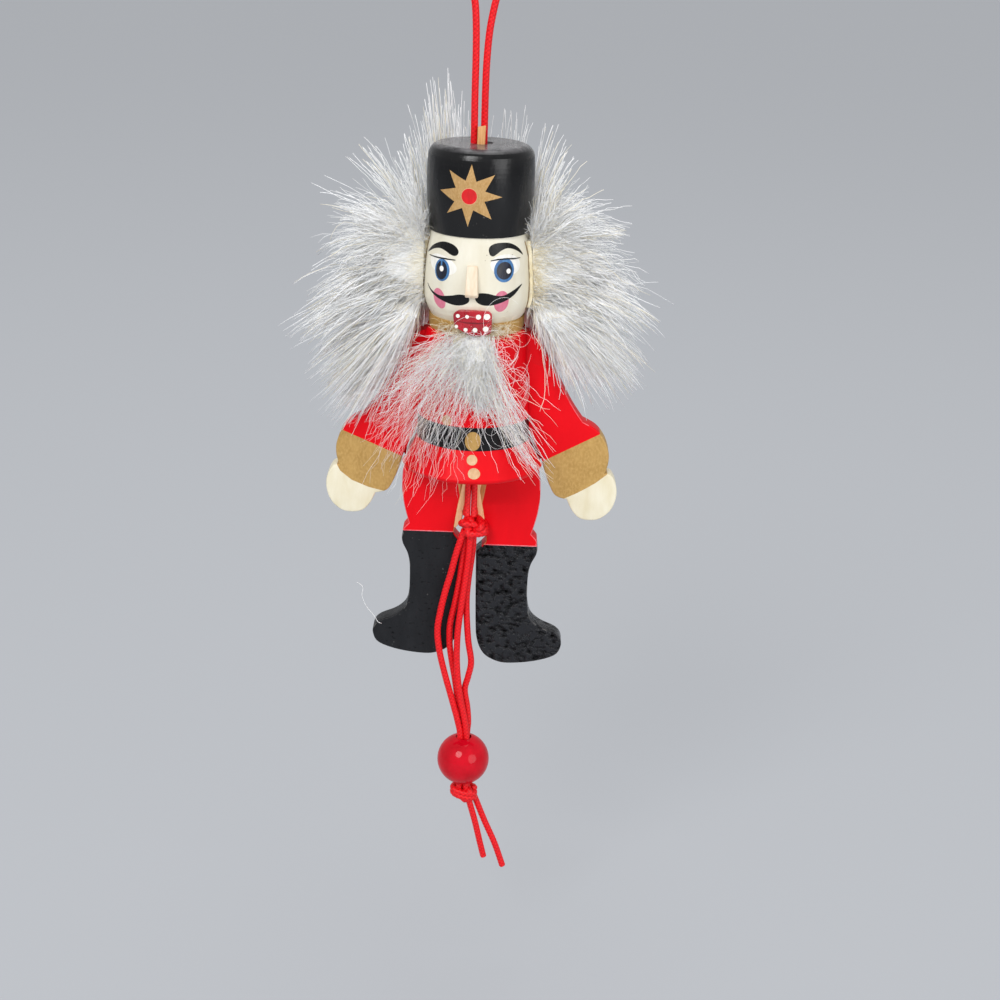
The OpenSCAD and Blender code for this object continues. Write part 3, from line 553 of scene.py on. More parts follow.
def remake(node, cuts=(), rim=0.0, rimFilter=None):
    # a copy of a CAD node, cut along planes, with its chosen sharp edges rounded
    bm = bmesh.new()
    bm.from_mesh(nodes[node].data)
    bmesh.ops.remove_doubles(bm, verts=bm.verts, dist=2e-6)
    bmesh.ops.dissolve_limit(bm, angle_limit=math.radians(0.6), verts=bm.verts, edges=bm.edges)
    if rim:
        sharp = [e for e in bm.edges if len(e.link_faces) == 2 and e.calc_face_angle(0) > math.radians(40)
                 and rimFilter(e)]
        bmesh.ops.bevel(bm, geom=sharp, offset=rim * mm, segments=3, profile=0.5, affect="EDGES")
    for point, way in cuts:
        bmesh.ops.bisect_plane(bm, geom=bm.verts[:] + bm.edges[:] + bm.faces[:],
                               plane_co=Vector(point) * mm, plane_no=Vector(way))
    bmesh.ops.triangulate(bm, faces=[f for f in bm.faces if len(f.verts) > 4])
    bmesh.ops.recalc_face_normals(bm, faces=bm.faces)
    return bm


bodyPaint = {"collar": -77.1, "beltTop": -97.2, "beltFoot": -102.6}
torsoMesh = remake("torso", [((0, 0, z), (0, 0, 1)) for z in bodyPaint.values()])
red, gold, black = range(3)
for face in torsoMesh.faces:
    middle = face.calc_center_median()
    inCut = abs(face.normal.y) > 0.98 and abs(middle.y) < 0.0031  # a wall of the saw cut, red all the way
    if middle.z / mm > bodyPaint["collar"] and not inCut:
        face.material_index = gold
    elif bodyPaint["beltFoot"] < middle.z / mm < bodyPaint["beltTop"] and not inCut:
        face.material_index = black
    else:
        face.material_index = red
sharpen(torsoMesh, 30)
newPiece("torsoPainted", torsoMesh, ["redEnamel", "bronzeCuff", "blackLine"], "figure", "red_lacquer",
         "torso")

nodePaint = {"head": "creamEnamel", "hat": "blackSatin", "neck_dowel": "bareBirch", "pull_bead": "beadGloss"}
for side, label in bothSides:
    nodePaint.update({f"shoulder_pin_{label}": "steelWire", f"hip_pin_{label}": "steelWire"})
for node, mat in nodePaint.items():
    nodes[node].data.materials.clear()
    nodes[node].data.materials.append(look[mat])

pegMade = {"centre": (-0.35, -0.95), "half": 0.84, "foot": -48.9, "top": -33.4, "lean": 0.25, "chamfer": 0.22}


def whittledPeg(peg):
    # a splinter of birch cut to a rough square, pushed in beside the cord and snapped off
    bm = bmesh.new()
    bmesh.ops.create_cube(bm, size=2)
    for v in bm.verts:
        high = v.co.z > 0
        half = peg["half"] * (1.05 if high else 0.85)
        lean = peg["lean"] if high else 0
        tip = 0.35 * (v.co.x > 0) - 0.2 * (v.co.y > 0) if high else 0
        v.co = Vector((peg["centre"][0] + v.co.x * half + lean, peg["centre"][1] + v.co.y * half * 0.85,
                       (peg["top"] + tip if high else peg["foot"]))) * mm
    bmesh.ops.bevel(bm, geom=bm.edges[:], offset=peg["chamfer"] * mm, segments=2, profile=0.5, affect="EDGES")
    sharpen(bm, 50)
    return bm


newPiece("pegWhittled", whittledPeg(pegMade), ["bareBirch"], "figure", "bare_wood", "hat_peg")


def borePlug(radius, height, rings=7, sides=40):
    # grey glue and paint that closed the hat's hole round the cord and the peg
    spots = [Vector((0, 0, height))]
    for i in range(1, rings + 1):
        for k in range(sides):
            a, r = 2 * math.pi * k / sides, radius * i / rings
            spots.append(Vector((r * math.cos(a), r * math.sin(a), height + 0.35 * (i / rings) ** 3)))
    for spot in spots:
        spot.z += 0.12 * noise.noise(spot * 1.7)
    faces = [(0, 1 + k, 1 + (k + 1) % sides) for k in range(sides)]
    faces += [(a, d, c, b) for a, b, c, d in quadsBetween(rings, sides, 1)]
    made = meshObject("boreGlue", [tuple(spot * mm) for spot in spots], faces, ["blackSatin"])
    dress(made, "figure", "black_lacquer")


boreGlue = {"radius": 2.42, "height": -37.45}
borePlug(**boreGlue)

noseMade = {"rim": 0.26, "topShare": 0.8, "lean": 0.12}
noseMesh = remake("nose")
low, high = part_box("nose")
noseMiddle = (low.x + high.x) / 2
for v in noseMesh.verts:
    rise = (v.co.z - low.z) / (high.z - low.z)
    v.co.x = noseMiddle + (v.co.x - noseMiddle) * (1 - (1 - noseMade["topShare"]) * rise ** 1.4)
    v.co.x += noseMade["lean"] * mm * (1 - rise)
frontEdges = [e for e in noseMesh.edges if e.calc_face_angle(0) > 0.5 and edgeMiddle(e).y < -0.0116]
bmesh.ops.bevel(noseMesh, geom=frontEdges, offset=noseMade["rim"] * mm, segments=4, profile=0.55,
                affect="EDGES")
sharpen(noseMesh, 60)
newPiece("noseWedge", noseMesh, ["paleNose"], "figure", "cream_paint", "nose")

print("painted marks")


def closedCurve(points, steps=5):
    p, n = np.array(points, float), len(points)
    out = []
    for i in range(n):
        out += [curveAt(p[i - 1], p[i], p[(i + 1) % n], p[(i + 2) % n], k / steps) for k in range(steps)]
    return out


def ellipse(centre, size, tilt=0.0, count=28):
    c, s = math.cos(math.radians(tilt)), math.sin(math.radians(tilt))
    return [(centre[0] + size[0] * math.cos(t) * c - size[1] * math.sin(t) * s,
             centre[1] + size[0] * math.cos(t) * s + size[1] * math.sin(t) * c)
            for t in (2 * math.pi * i / count for i in range(count))]


def stroke(points, widths):
    # a brush line along points, as wide as widths says
    p = np.array(points, float)
    way = np.gradient(p, axis=0)
    way /= np.linalg.norm(way, axis=1)[:, None]
    side = np.stack([-way[:, 1], way[:, 0]], 1) * np.array(widths)[:, None] / 2
    return [tuple(q) for q in p + side] + [tuple(q) for q in (p - side)[::-1]]


slotOf = {
    "whiteDab": "cream_paint", "blueIris": "cream_paint", "pinkCheek": "cream_paint",
    "blackLine": "black_lacquer", "inkPupil": "black_lacquer", "lipLine": "mouth_paint",
    "redDot": "red_lacquer", "bronzeStar": "bare_wood", "bronzeCuff": "bare_wood", "peachDab": "bare_wood",
}


def paintMark(name, skin, radius, foot, outline, lift, mat, grid=0.45):
    # a film of paint: outline in mm along the surface and in height above foot
    bm = bmesh.new()
    bm.faces.new([bm.verts.new((u, v, 0)) for u, v in outline])
    lows = [min(p[k] for p in outline) for k in (0, 1)]
    highs = [max(p[k] for p in outline) for k in (0, 1)]
    for k in (0, 1):
        for i in range(1, int((highs[k] - lows[k]) / grid) + 1):
            at = Vector((0, 0, 0))
            at[k] = lows[k] + i * grid
            way = Vector((1 - k, k, 0))
            bmesh.ops.bisect_plane(bm, geom=bm.verts[:] + bm.edges[:] + bm.faces[:], plane_co=at, plane_no=way)
    bmesh.ops.triangulate(bm, faces=bm.faces)
    grown = bmesh.ops.extrude_face_region(bm, geom=bm.faces[:])
    outer = {g for g in grown["geom"] if isinstance(g, bmesh.types.BMVert)}
    for v in bm.verts:
        v.co = onSurface(skin, v.co.x / radius, foot + v.co.y, lift if v in outer else -0.06)
    bmesh.ops.recalc_face_normals(bm, faces=bm.faces)
    sharpen(bm, 60)
    newPiece(name, bm, [mat], "figure", slotOf[mat])


faceAt = {"radius": 11.9, "foot": -74.3}
faceSkin = surfaceOf("head")
faceMarks = [
    ("eyeWhite_left", ellipse((-8.9, 12.4), (4.3, 2.0), -8), 0.02, "whiteDab"),
    ("eyeWhite_right", ellipse((6.9, 13.0), (4.0, 2.3), -4), 0.02, "whiteDab"),
    ("brow_left", closedCurve([
        (-15.2, 14.0), (-13.3, 15.6), (-10.8, 16.8), (-8.7, 17.3), (-6.6, 17.15), (-5.2, 16.6), (-4.5, 15.7),
        (-4.85, 14.9), (-5.7, 14.7), (-6.7, 14.95), (-7.9, 15.4), (-9.7, 15.75), (-12.0, 15.3)]), 0.05,
     "blackLine"),
    ("brow_right", closedCurve([
        (2.55, 16.3), (2.85, 17.1), (4.0, 17.65), (5.8, 17.8), (7.9, 17.6), (9.8, 16.85), (11.3, 15.8),
        (12.2, 14.6), (10.4, 15.6), (8.7, 16.3), (7.2, 16.55), (5.7, 16.2), (4.5, 15.5), (3.6, 15.05),
        (2.85, 15.3)]), 0.05, "blackLine"),
    ("lidLine_left", stroke([(-13.9, 13.6), (-10.1, 13.7), (-7.6, 13.8), (-5.1, 13.85)],
                            [0.12, 0.3, 0.3, 0.15]), 0.09, "blackLine"),
    ("lidLine_right", stroke([(3.0, 14.1), (4.7, 14.35), (7.0, 14.35), (8.8, 14.2), (11.0, 14.15)],
                             [0.15, 0.3, 0.3, 0.28, 0.12]), 0.09, "blackLine"),
    ("iris_left", ellipse((-8.55, 11.25), (2.2, 2.4)), 0.04, "blueIris"),
    ("iris_right", ellipse((6.3, 11.95), (2.55, 2.6)), 0.04, "blueIris"),
    ("pupil_left", ellipse((-8.65, 11.2), (1.65, 2.0)), 0.06, "inkPupil"),
    ("pupil_right", ellipse((6.3, 11.85), (1.95, 1.9)), 0.06, "inkPupil"),
    ("glintDab_left", ellipse((-8.6, 11.55), (0.6, 0.6)), 0.08, "whiteDab"),
    ("glintDab_right", ellipse((7.3, 11.7), (0.55, 0.55)), 0.08, "whiteDab"),
    # painted reflection: a pale blue streak on the left eye
    ("glintStreak_left", stroke([(-8.75, 13.2), (-8.7, 12.2)], [0.45, 0.35]), 0.075, "blueIris"),
    ("cheek_left", ellipse((-8.95, 4.95), (1.75, 2.3), 24), 0.03, "pinkCheek"),
    ("cheek_right", ellipse((5.65, 5.2), (1.8, 2.35), -4), 0.03, "pinkCheek"),
    ("moustache_left", closedCurve([
        (-13.6, 7.45), (-12.1, 6.55), (-10.2, 5.95), (-8.3, 5.7), (-5.8, 6.1), (-3.7, 6.6), (-1.95, 6.4),
        (-1.5, 5.6), (-1.9, 4.85), (-3.3, 4.25), (-5.1, 4.15), (-7.4, 4.55), (-10.0, 5.25), (-12.1, 6.2)]),
     0.06, "blackLine"),
    ("moustache_right", closedCurve([
        (-0.2, 5.85), (-0.1, 6.7), (0.7, 7.15), (2.35, 7.1), (4.05, 6.65), (5.7, 6.45), (7.2, 6.8),
        (8.9, 7.45), (11.4, 8.4), (10.05, 7.2), (8.7, 6.25), (7.0, 5.45), (5.2, 4.85), (3.1, 4.45),
        (1.4, 4.55), (0.25, 5.1)]), 0.06, "blackLine"),
]
for name, outline, lift, mat in faceMarks:
    paintMark(name, faceSkin, faceAt["radius"], faceAt["foot"], outline, lift, mat)

mouthMade = {
    "inner": 11.3, "outer": 12.8, "foot": -74.3, "rim": 0.16, "cuts": 0.7,
    "outline": [(-5.0, 2.2), (-4.5, 2.95), (-3.4, 3.3), (-1.0, 3.42), (2.2, 3.3), (3.35, 3.05), (3.6, 2.3),
                (3.6, 0.6), (3.5, -1.1), (2.9, -1.75), (1.2, -2.1), (-0.6, -2.1), (-2.2, -1.5), (-4.0, -0.7),
                (-4.7, 0.1), (-4.95, 1.2)],
}


def mouthPiece(piece):
    # a thin curved plate with rounded corners, glued over the chin and the collar
    bm = bmesh.new()
    bm.faces.new([bm.verts.new((u, v, 0)) for u, v in closedCurve(piece["outline"], 3)])
    for i in range(-7, 8):
        bmesh.ops.bisect_plane(bm, geom=bm.verts[:] + bm.edges[:] + bm.faces[:],
                               plane_co=(i * piece["cuts"], 0, 0), plane_no=(1, 0, 0))
    grown = bmesh.ops.extrude_face_region(bm, geom=bm.faces[:])
    outer = {g for g in grown["geom"] if isinstance(g, bmesh.types.BMVert)}
    for v in bm.verts:
        angle, z = v.co.x / piece["outer"], piece["foot"] + v.co.y
        radius = piece["outer"] if v in outer else piece["inner"]
        v.co = Vector((math.sin(angle) * radius, -math.cos(angle) * radius, z)) * mm
    bmesh.ops.recalc_face_normals(bm, faces=bm.faces)
    rims = [e for e in bm.edges if e.calc_face_angle(0) > 0.9 and all(v in outer for v in e.verts)]
    bmesh.ops.bevel(bm, geom=rims, offset=piece["rim"] * mm, segments=3, profile=0.5, affect="EDGES")
    bmesh.ops.triangulate(bm, faces=[f for f in bm.faces if len(f.verts) > 4])
    sharpen(bm, 50)
    newPiece("mouthPiece", bm, ["mouthGloss"], "figure", "mouth_paint", "mouth_plate")


mouthPiece(mouthMade)
# the plate's front as a bare surface, for the marks on it
mouthCurve = BVHTree.FromPolygons(
    [Vector((math.sin(a) * 0.0128, -math.cos(a) * 0.0128, z)) for z in (-0.09, -0.06)
     for a in (i * 0.05 for i in range(-12, 13))],
    [(i, i + 1, i + 26, i + 25) for i in range(24)])
paintMark("lipLine", mouthCurve, mouthMade["outer"], mouthMade["foot"],
          stroke([(-3.9, 0.95), (-2.0, 0.75), (0.6, 0.72), (3.1, 0.95)], [0.12, 0.34, 0.34, 0.15]), 0.03,
          "lipLine")
toothDabs = {"upper": [(-3.9, 2.1, 0.42), (-1.85, 2.1, 0.4), (0.6, 2.15, 0.55), (2.45, 2.2, 0.68)],
             "lower": [(-4.2, -0.25, 0.38), (-2.1, -0.8, 0.42), (-0.05, -0.75, 0.5), (2.25, -0.5, 0.6)]}
for row, dabs in toothDabs.items():
    for number, (u, v, size) in enumerate(dabs, 1):
        paintMark(f"toothDab_{row}_{number}", mouthCurve, mouthMade["outer"], mouthMade["foot"],
                  ellipse((u, v), (size * 1.05, size), 0, 16), 0.05, "whiteDab")

starMark = {
    "radius": 11.7, "foot": -55.5, "centre": (-2.17, 8.96), "dot": 1.68,
    "points": [(-1.8, 15.7), (-0.72, 12.15), (3.15, 13.6), (1.2, 10.15), (5.0, 8.9), (1.1, 8.0), (2.8, 4.2),
               (-1.25, 6.1), (-2.4, 2.45), (-3.7, 6.4), (-7.45, 4.9), (-5.5, 7.6), (-9.3, 9.6), (-5.2, 10.55),
               (-6.85, 14.1), (-3.0, 12.2)],
}
hatSkin = surfaceOf("hat")
for name, outline, lift, mat in (
        ("starPaint", starMark["points"], 0.05, "bronzeStar"),
        ("starRing", ellipse(starMark["centre"], (starMark["dot"] * 1.06,) * 2), 0.06, "peachDab"),
        ("starDot", ellipse(starMark["centre"], (starMark["dot"],) * 2), 0.08, "redDot")):
    paintMark(name, hatSkin, starMark["radius"], starMark["foot"], outline, lift, mat)

bodyMarks = {"radius": 12.9, "buckle": ((0.2, -100.3), (1.75, 2.2)),
             "dabs": [(0.15, -104.35, 1.1), (0.6, -107.0, 1.15), (-6.0, -96.1, 1.2), (6.1, -92.4, 1.25)]}
torsoSkin = surfaceOf("torso")
paintMark("buckleDab", torsoSkin, bodyMarks["radius"], 0, ellipse(*bodyMarks["buckle"]), 0.12, "bronzeCuff")
for number, (u, v, size) in enumerate(bodyMarks["dabs"], 1):
    paintMark(f"jacketDab{number}", torsoSkin, bodyMarks["radius"], 0,
              ellipse((u, v), (size, size * 0.95), 0, 20), 0.07, "peachDab")

print("limbs")
rimTurn = (0.6, 0.82)  # how far the faces of a limb's rounded rim look to the front or the back
armPaint = {  # lines between the colours on each arm, in x and z
    "left": {"cuffTop": [(-30, -102.0), (-17.0, -107.5)],
             "cuffFoot": [(-31.0, -110.3), (-30.1, -112.0), (-27.5, -114.1), (-23.6, -115.7), (-18.5, -116.9)]},
    "right": {"cuffTop": [(15.9, -108.05), (28.05, -101.36)],
              "cuffFoot": [(21.6, -116.7), (23.8, -115.6), (26.0, -114.3), (28.3, -112.8), (31, -110.5)]},
}
armPin = (9.4, -83.4)
limbRim = 0.35


def outlineEdge(edge):
    # between a flat side and the sawn edge
    caps = [f for f in edge.link_faces if abs(f.normal.y) > 0.99]
    walls = [f for f in edge.link_faces if abs(f.normal.y) < 0.3]
    return len(caps) == 1 and len(walls) == 1


def farFrom(edge, pin, reach):
    middle = edgeMiddle(edge)
    return math.hypot(middle.x - pin[0] * mm, middle.z - pin[1] * mm) > reach * mm


def lineCuts(line):
    return [((x0, 0, z0), (-(z1 - z0), 0, x1 - x0)) for (x0, z0), (x1, z1) in zip(line, line[1:])]


def underLine(line, spot):
    # the line goes on straight past its ends
    xs, zs = zip(*line)
    ends = ((line[1][1] - line[0][1]) / (line[1][0] - line[0][0]),
            (line[-1][1] - line[-2][1]) / (line[-1][0] - line[-2][0]))
    x = spot.x / mm
    height = float(np.interp(x, xs, zs)) + min(0, x - xs[0]) * ends[0] + max(0, x - xs[-1]) * ends[1]
    return spot.z / mm < height


red, wornHighlightEdge = 0, 3  # between them gold, under one line, and ivory, under both
for side, label in bothSides:
    pin, lines = (side * armPin[0], armPin[1]), armPaint[label].values()
    made = remake(f"arm_{label}", [cut for line in lines for cut in lineCuts(line)], limbRim,
                  lambda e: outlineEdge(e) and farFrom(e, pin, 7))
    for face in made.faces:
        middle = face.calc_center_median()
        face.material_index = sum(underLine(line, middle) for line in lines)
        # the rim's slanted faces, in patches: paint worn thin, with a painted highlight
        rubbedAndHighlit = rimTurn[0] < abs(face.normal.y) < rimTurn[1] and noise.noise(middle * 260) > 0.05
        if face.material_index == red and rubbedAndHighlit:
            face.material_index = wornHighlightEdge
    sharpen(made, 35)
    newPiece(f"armPainted_{label}", made, ["redEnamel", "bronzeCuff", "ivoryEnamel", "wornRedHighlight"],
             f"{label}_arm", "painted_plywood", f"arm_{label}")

legPaint = {  # redWall is how far the red runs down the inner edge, lumps how thick the boot's paint is
    "left": {"hip": (-8.7, -103.7), "boot": "blackBoot", "bootTop": -126.1, "redWall": 3.4, "lumps": 0.06},
    "right": {"hip": (8.7, -105.5), "boot": "blackLumped", "bootTop": -129.0, "redWall": 0.5, "lumps": 0.38},
}


def bootLumps(bm, top, depth, seed):
    # thick brushed paint on the front and the back: the flat faces are cut fine and moved
    grid = 0.5
    for way, high in ((Vector((1, 0, 0)), max(v.co.x for v in bm.verts)), (Vector((0, 0, 1)), top * mm)):
        low = min(v.co.dot(way) for v in bm.verts)
        for i in range(1, int((high - low) / (grid * mm)) + 1):
            at = way * (low + i * grid * mm)
            flats = [f for f in bm.faces if abs(f.normal.y) > 0.99 and f.calc_center_median().z < top * mm]
            parts = {v for f in flats for v in f.verts} | {e for f in flats for e in f.edges}
            bmesh.ops.bisect_plane(bm, geom=list(parts) + flats, plane_co=at, plane_no=way)
    bm.normal_update()
    for v in bm.verts:
        if v.co.z < (top - 0.2) * mm and all(abs(f.normal.y) > 0.99 for f in v.link_faces):
            spot = Vector((v.co.x, v.co.y * 3, v.co.z * 1.6)) * 1000
            lump = noise.fractal(spot * 0.75 + Vector((seed, 0, 0)), 0.8, 2.2, 4)
            ridge = 1 - abs(noise.noise(spot * 0.45 + Vector((0, seed, 3))))
            v.co.y += math.copysign(depth * mm * (0.6 * lump + 0.8 * (ridge ** 3 - 0.7)), v.co.y)


red, boot, bare, wornRedHighlight, wornBootHighlight = range(5)
for side, label in bothSides:
    leg = legPaint[label]
    top, wall = leg["bootTop"], leg["bootTop"] - leg["redWall"]
    made = remake(f"leg_{label}", [((0, 0, z), (0, 0, 1)) for z in (top, top + 0.2, wall)], limbRim,
                  lambda e: outlineEdge(e) and farFrom(e, leg["hip"], 8))
    for face in made.faces:
        middle = face.calc_center_median()
        inward = -side * face.normal.x if abs(middle.x) < 0.006 else 0  # how far it looks to the other leg
        strip = -0.95 < face.normal.y < -0.3 and inward > 0.3
        # the rim's slanted faces, in patches: paint worn thin, with a painted highlight
        rubbedAndHighlit = (rimTurn[0] < abs(face.normal.y) < rimTurn[1]
                  and noise.noise(middle * 260 + Vector((side, 0, 0))) > -0.12)
        hem = middle.z < (top + 0.2) * mm and abs(face.normal.y) > 0.9
        if wall * mm < middle.z < top * mm and inward > 0.4:
            face.material_index = red
        elif middle.z < top * mm:
            face.material_index = wornBootHighlight if rubbedAndHighlit and noise.noise(middle * 420) > 0.02 else boot
        elif strip:
            face.material_index = bare
        else:
            face.material_index = wornRedHighlight if rubbedAndHighlit or hem else red
    bootLumps(made, top, leg["lumps"], 11 * side)
    bmesh.ops.triangulate(made, faces=[f for f in made.faces if len(f.verts) > 4])
    sharpen(made, 35)
    newPiece(f"legPainted_{label}", made, ["redEnamel", leg["boot"], "bareBirch", "wornRedHighlight", "wornBlackHighlight"],
             f"{label}_leg", "painted_plywood", f"leg_{label}")

splinterMade = {"heights": (-110.5, -124.9), "step": 0.45, "wide": 1.4, "rag": 0.35, "front": -2.4,
                "chamfer": 0.3}


def splinterStrip(name, skin, side, strip):
    # bare wood that tore along the saw cut on a trouser's inner edge, ragged and a little proud
    bm, rings = bmesh.new(), []
    count = int((strip["heights"][0] - strip["heights"][1]) / strip["step"])
    for i in range(count + 1):
        z = strip["heights"][0] - i * strip["step"]
        hit = skin.ray_cast(Vector((0, -0.0012, z * mm)), Vector((side, 0, 0)))[0]
        if hit is None:
            continue
        outer = hit.x / mm + side * 0.15
        ragged = strip["wide"] + strip["rag"] * noise.noise(Vector((i * 0.35, side * 3.1, 0.2)))
        ragged += 0.16 * noise.noise(Vector((i * 1.3, side * 7.7, 0.9)))
        inner = outer - side * (ragged + 0.15) * min(1, 0.35 + (count - i) * 0.25)
        front = strip["front"] + 0.12 * noise.noise(Vector((i * 0.8, side, 4)))
        profile = [(outer, front), (inner + side * strip["chamfer"] * 0.6, front + 0.05),
                   (inner, front + strip["chamfer"]), (inner, 1.6), (inner + side * 0.3, 2.2), (outer, 2.2)]
        rings.append([bm.verts.new(Vector((x, y, z)) * mm) for x, y in profile])
    for a, b in zip(rings, rings[1:]):
        for k in range(len(a)):
            bm.faces.new((a[k], a[(k + 1) % len(a)], b[(k + 1) % len(a)], b[k]))
    bm.faces.new(rings[0])
    bm.faces.new(list(reversed(rings[-1])))
    bmesh.ops.recalc_face_normals(bm, faces=bm.faces)
    sharpen(bm, 40)
    newPiece(name, bm, ["birchPaintedLighter"], "left_leg" if side < 0 else "right_leg", "bare_wood")


for side, label in bothSides:
    splinterStrip(f"legSplinter_{label}", surfaceOf(f"leg_{label}"), side, splinterMade)

print("backing of the hair and the beard")


def backingStrip(name, node, skin, angles, heights, thick, wobble, columns, rows, seed):
    # a strip of knitted backing laid round a turned surface, cut unevenly along its edges
    vertices, faces = [], []
    for layer in (0.06, thick):
        for j in range(rows + 1):
            for i in range(columns + 1):
                share, rise = i / columns, j / rows
                edge = noise.noise(Vector((seed, j * 0.8, i * 0.35)))
                angle = math.radians(angles[0] + (angles[1] - angles[0]) * share)
                if i in (0, columns):
                    angle += edge * wobble / faceAt["radius"]
                z = heights[0] + (heights[1] - heights[0]) * rise + (edge * wobble if j in (0, rows) else 0)
                puff = 0.12 * noise.noise(Vector((i * 0.9, j * 0.9, seed))) if layer > 0.1 else 0
                vertices.append(onSurface(skin, angle, z, layer + puff))
    stride, half = columns + 1, (columns + 1) * (rows + 1)
    for a, b, c, d in quadsBetween(rows + 1, stride, closed=False):
        faces += [(a, b, c, d), (a + half, d + half, c + half, b + half)]
    rim = list(range(columns)) + [j * stride + columns for j in range(rows)]
    rim += [half - 1 - spot for spot in rim]
    for a, b in zip(rim, rim[1:] + rim[:1]):
        faces.append((a, a + half, b + half, b))
    made = meshObject(name, vertices, faces, ["knitBacking"])
    bm = bmesh.new()
    bm.from_mesh(made.data)
    bmesh.ops.recalc_face_normals(bm, faces=bm.faces)
    sharpen(bm, 50)
    bm.to_mesh(made.data)
    bm.free()
    dress(made, "figure", "backing_cloth", node)


bandStrip = {"angles": (72, 278), "heights": (-72.0, -57.4), "thick": 0.85, "wobble": 0.5, "columns": 60,
             "rows": 14, "seed": 3.1}
backingStrip("hairBacking", "hair_band", faceSkin, **bandStrip)
beardStrip = {"angles": (-22, 14), "heights": (-80.3, -76.9), "thick": 0.8, "wobble": 0.25, "columns": 16,
              "rows": 5, "seed": 8.4}
backingStrip("beardBacking", "beard_patch", torsoSkin, **beardStrip)

glueEdge = {"diameter": 0.3, "stitch": 2.3, "relief": 0.2, "sides": 8, "ring": 0.25}
for label, angle in (("left", -82.5), ("right", 71.5)):
    line = []
    for i, z in enumerate(np.linspace(-72.4, -57.0, 14)):
        drift = 0.25 * noise.noise(Vector((angle, i * 0.6, 0))) - 0.9 * max(0, z + 60.5) / 3 * np.sign(angle)
        line.append(tuple(onSurface(faceSkin, math.radians(angle) + drift / faceAt["radius"], z, 0.02) / mm))
    dress(braidMesh(f"glueLine_{label}", [line], glueEdge, "hideGlue")[0], "figure", "backing_cloth")

print("hair and beard")
rng = np.random.default_rng(7)
headRound = 12.3  # mm, radius at which the pile is rooted on the head


def smoothStep(value, low, high):
    share = np.clip((value - low) / (high - low), 0, 1)
    return share * share * (3 - 2 * share)


def onRound(angle, radius, z):
    # points round the head or the body at these angles from the front, in mm
    return np.stack([np.sin(angle) * radius, -np.cos(angle) * radius, z], 1)


# the arms' highest reach as they swing, x and z
swingTop = [(12, -75.9), (20, -73.3), (26, -70.5), (28, -68.1), (32, -66.2), (44, -65.2)]


def armsWay(x, z, start, stop):
    # 0 well above the arms' swing, 1 where a strand must stay in front of it or behind it
    top = np.interp(np.abs(x), *zip(*swingTop))
    return smoothStep(np.abs(x), 11.6, 12.9) * smoothStep(top - z, -start, -stop)


def strandMesh(name, roots, bends, tips, width, curl, slot, node, ahead=None, points=8,
               waving=(0.6, 2.2), crinkle=0.0, mats=None):
    # each strand is a thin three-sided tube that narrows to its tip; everything in mm
    count = len(roots)
    t = np.linspace(0, 1, points)[None, :, None]
    line = roots[:, None] * (1 - t) ** 2 + 2 * bends[:, None] * t * (1 - t) + tips[:, None] * t ** 2
    phase = rng.uniform(0, 2 * math.pi, (count, 1, 3))
    waves = rng.uniform(*waving, (count, 1, 3))
    line = line + (np.sin(t * waves * math.pi + phase) - np.sin(phase)) * curl[:, None, None] * t
    if crinkle:
        # the heat-set crimp of the fibre, a wave every 3 to 5 mm
        crimps = np.linalg.norm(tips - roots, axis=1)[:, None, None] / rng.uniform(3, 5, (count, 1, 3))
        turns = 2 * math.pi * (t * crimps + rng.uniform(0, 1, (count, 1, 3)))
        line = line + np.sin(turns) * crinkle * t ** 0.5
    if ahead is not None:
        inWay = armsWay(line[..., 0], line[..., 2], 3.6, 1.0)
        keep = (3.0 + rng.uniform(0, 1, (count, 1)) ** 1.5 * 4.5) * inWay
        y = line[..., 1]
        clear = np.where(ahead[:, None], np.minimum(y, -keep), np.maximum(y, keep))
        line[..., 1] = np.where(inWay > 0, clear, y)
    along = np.gradient(line, axis=1)
    along /= np.linalg.norm(along, axis=2, keepdims=True) + 1e-9
    other = np.cross(along, rng.normal(size=(count, 1, 3)))
    other /= np.linalg.norm(other, axis=2, keepdims=True) + 1e-9
    third = np.cross(along, other)
    radius = (width / 2 * (1 - 0.35 * t ** 2)) * rng.uniform(0.75, 1.25, (count, 1, 1))
    turns = [2 * math.pi * k / 3 for k in range(3)]
    rings = [line + radius * (other * math.cos(turn) + third * math.sin(turn)) for turn in turns]
    vertices = np.stack(rings, 2).reshape(-1, 3) * mm
    first = (np.arange(count) * points * 3)[:, None, None]
    ring = (np.arange(points - 1) * 3)[None, :, None]
    side = np.arange(3)[None, None, :]
    a, b = first + ring + side, first + ring + (side + 1) % 3
    quads = np.stack([a, b, b + 3, a + 3], -1).reshape(-1, 4)
    start = (first[:, 0] + np.array([2, 1, 0])[None]).reshape(-1, 3)
    stop = (first[:, 0] + (points - 1) * 3 + np.array([0, 1, 2])[None]).reshape(-1, 3)
    mesh = bpy.data.meshes.new(name)
    mesh.vertices.add(len(vertices))
    mesh.vertices.foreach_set("co", vertices.ravel())
    loops = np.concatenate([quads.ravel(), start.ravel(), stop.ravel()])
    mesh.loops.add(len(loops))
    mesh.loops.foreach_set("vertex_index", loops)
    starts = np.concatenate([np.arange(len(quads)) * 4, len(quads) * 4 + np.arange(len(start) + len(stop)) * 3])
    mesh.polygons.add(len(starts))
    mesh.polygons.foreach_set("loop_start", starts)
    mesh.polygons.foreach_set("use_smooth", np.ones(len(starts), bool))
    mesh.update(calc_edges=True)
    mesh.validate()
    dress(linkObject(name, mesh, mats or acrylicPile), "figure", slot, node)
    tone = np.zeros(count, int) if mats else rng.choice(len(acrylicPile), count, p=(0.55, 0.3, 0.15))
    mesh.polygons.foreach_set("material_index", np.concatenate([np.repeat(tone, (points - 1) * 3), tone, tone]))


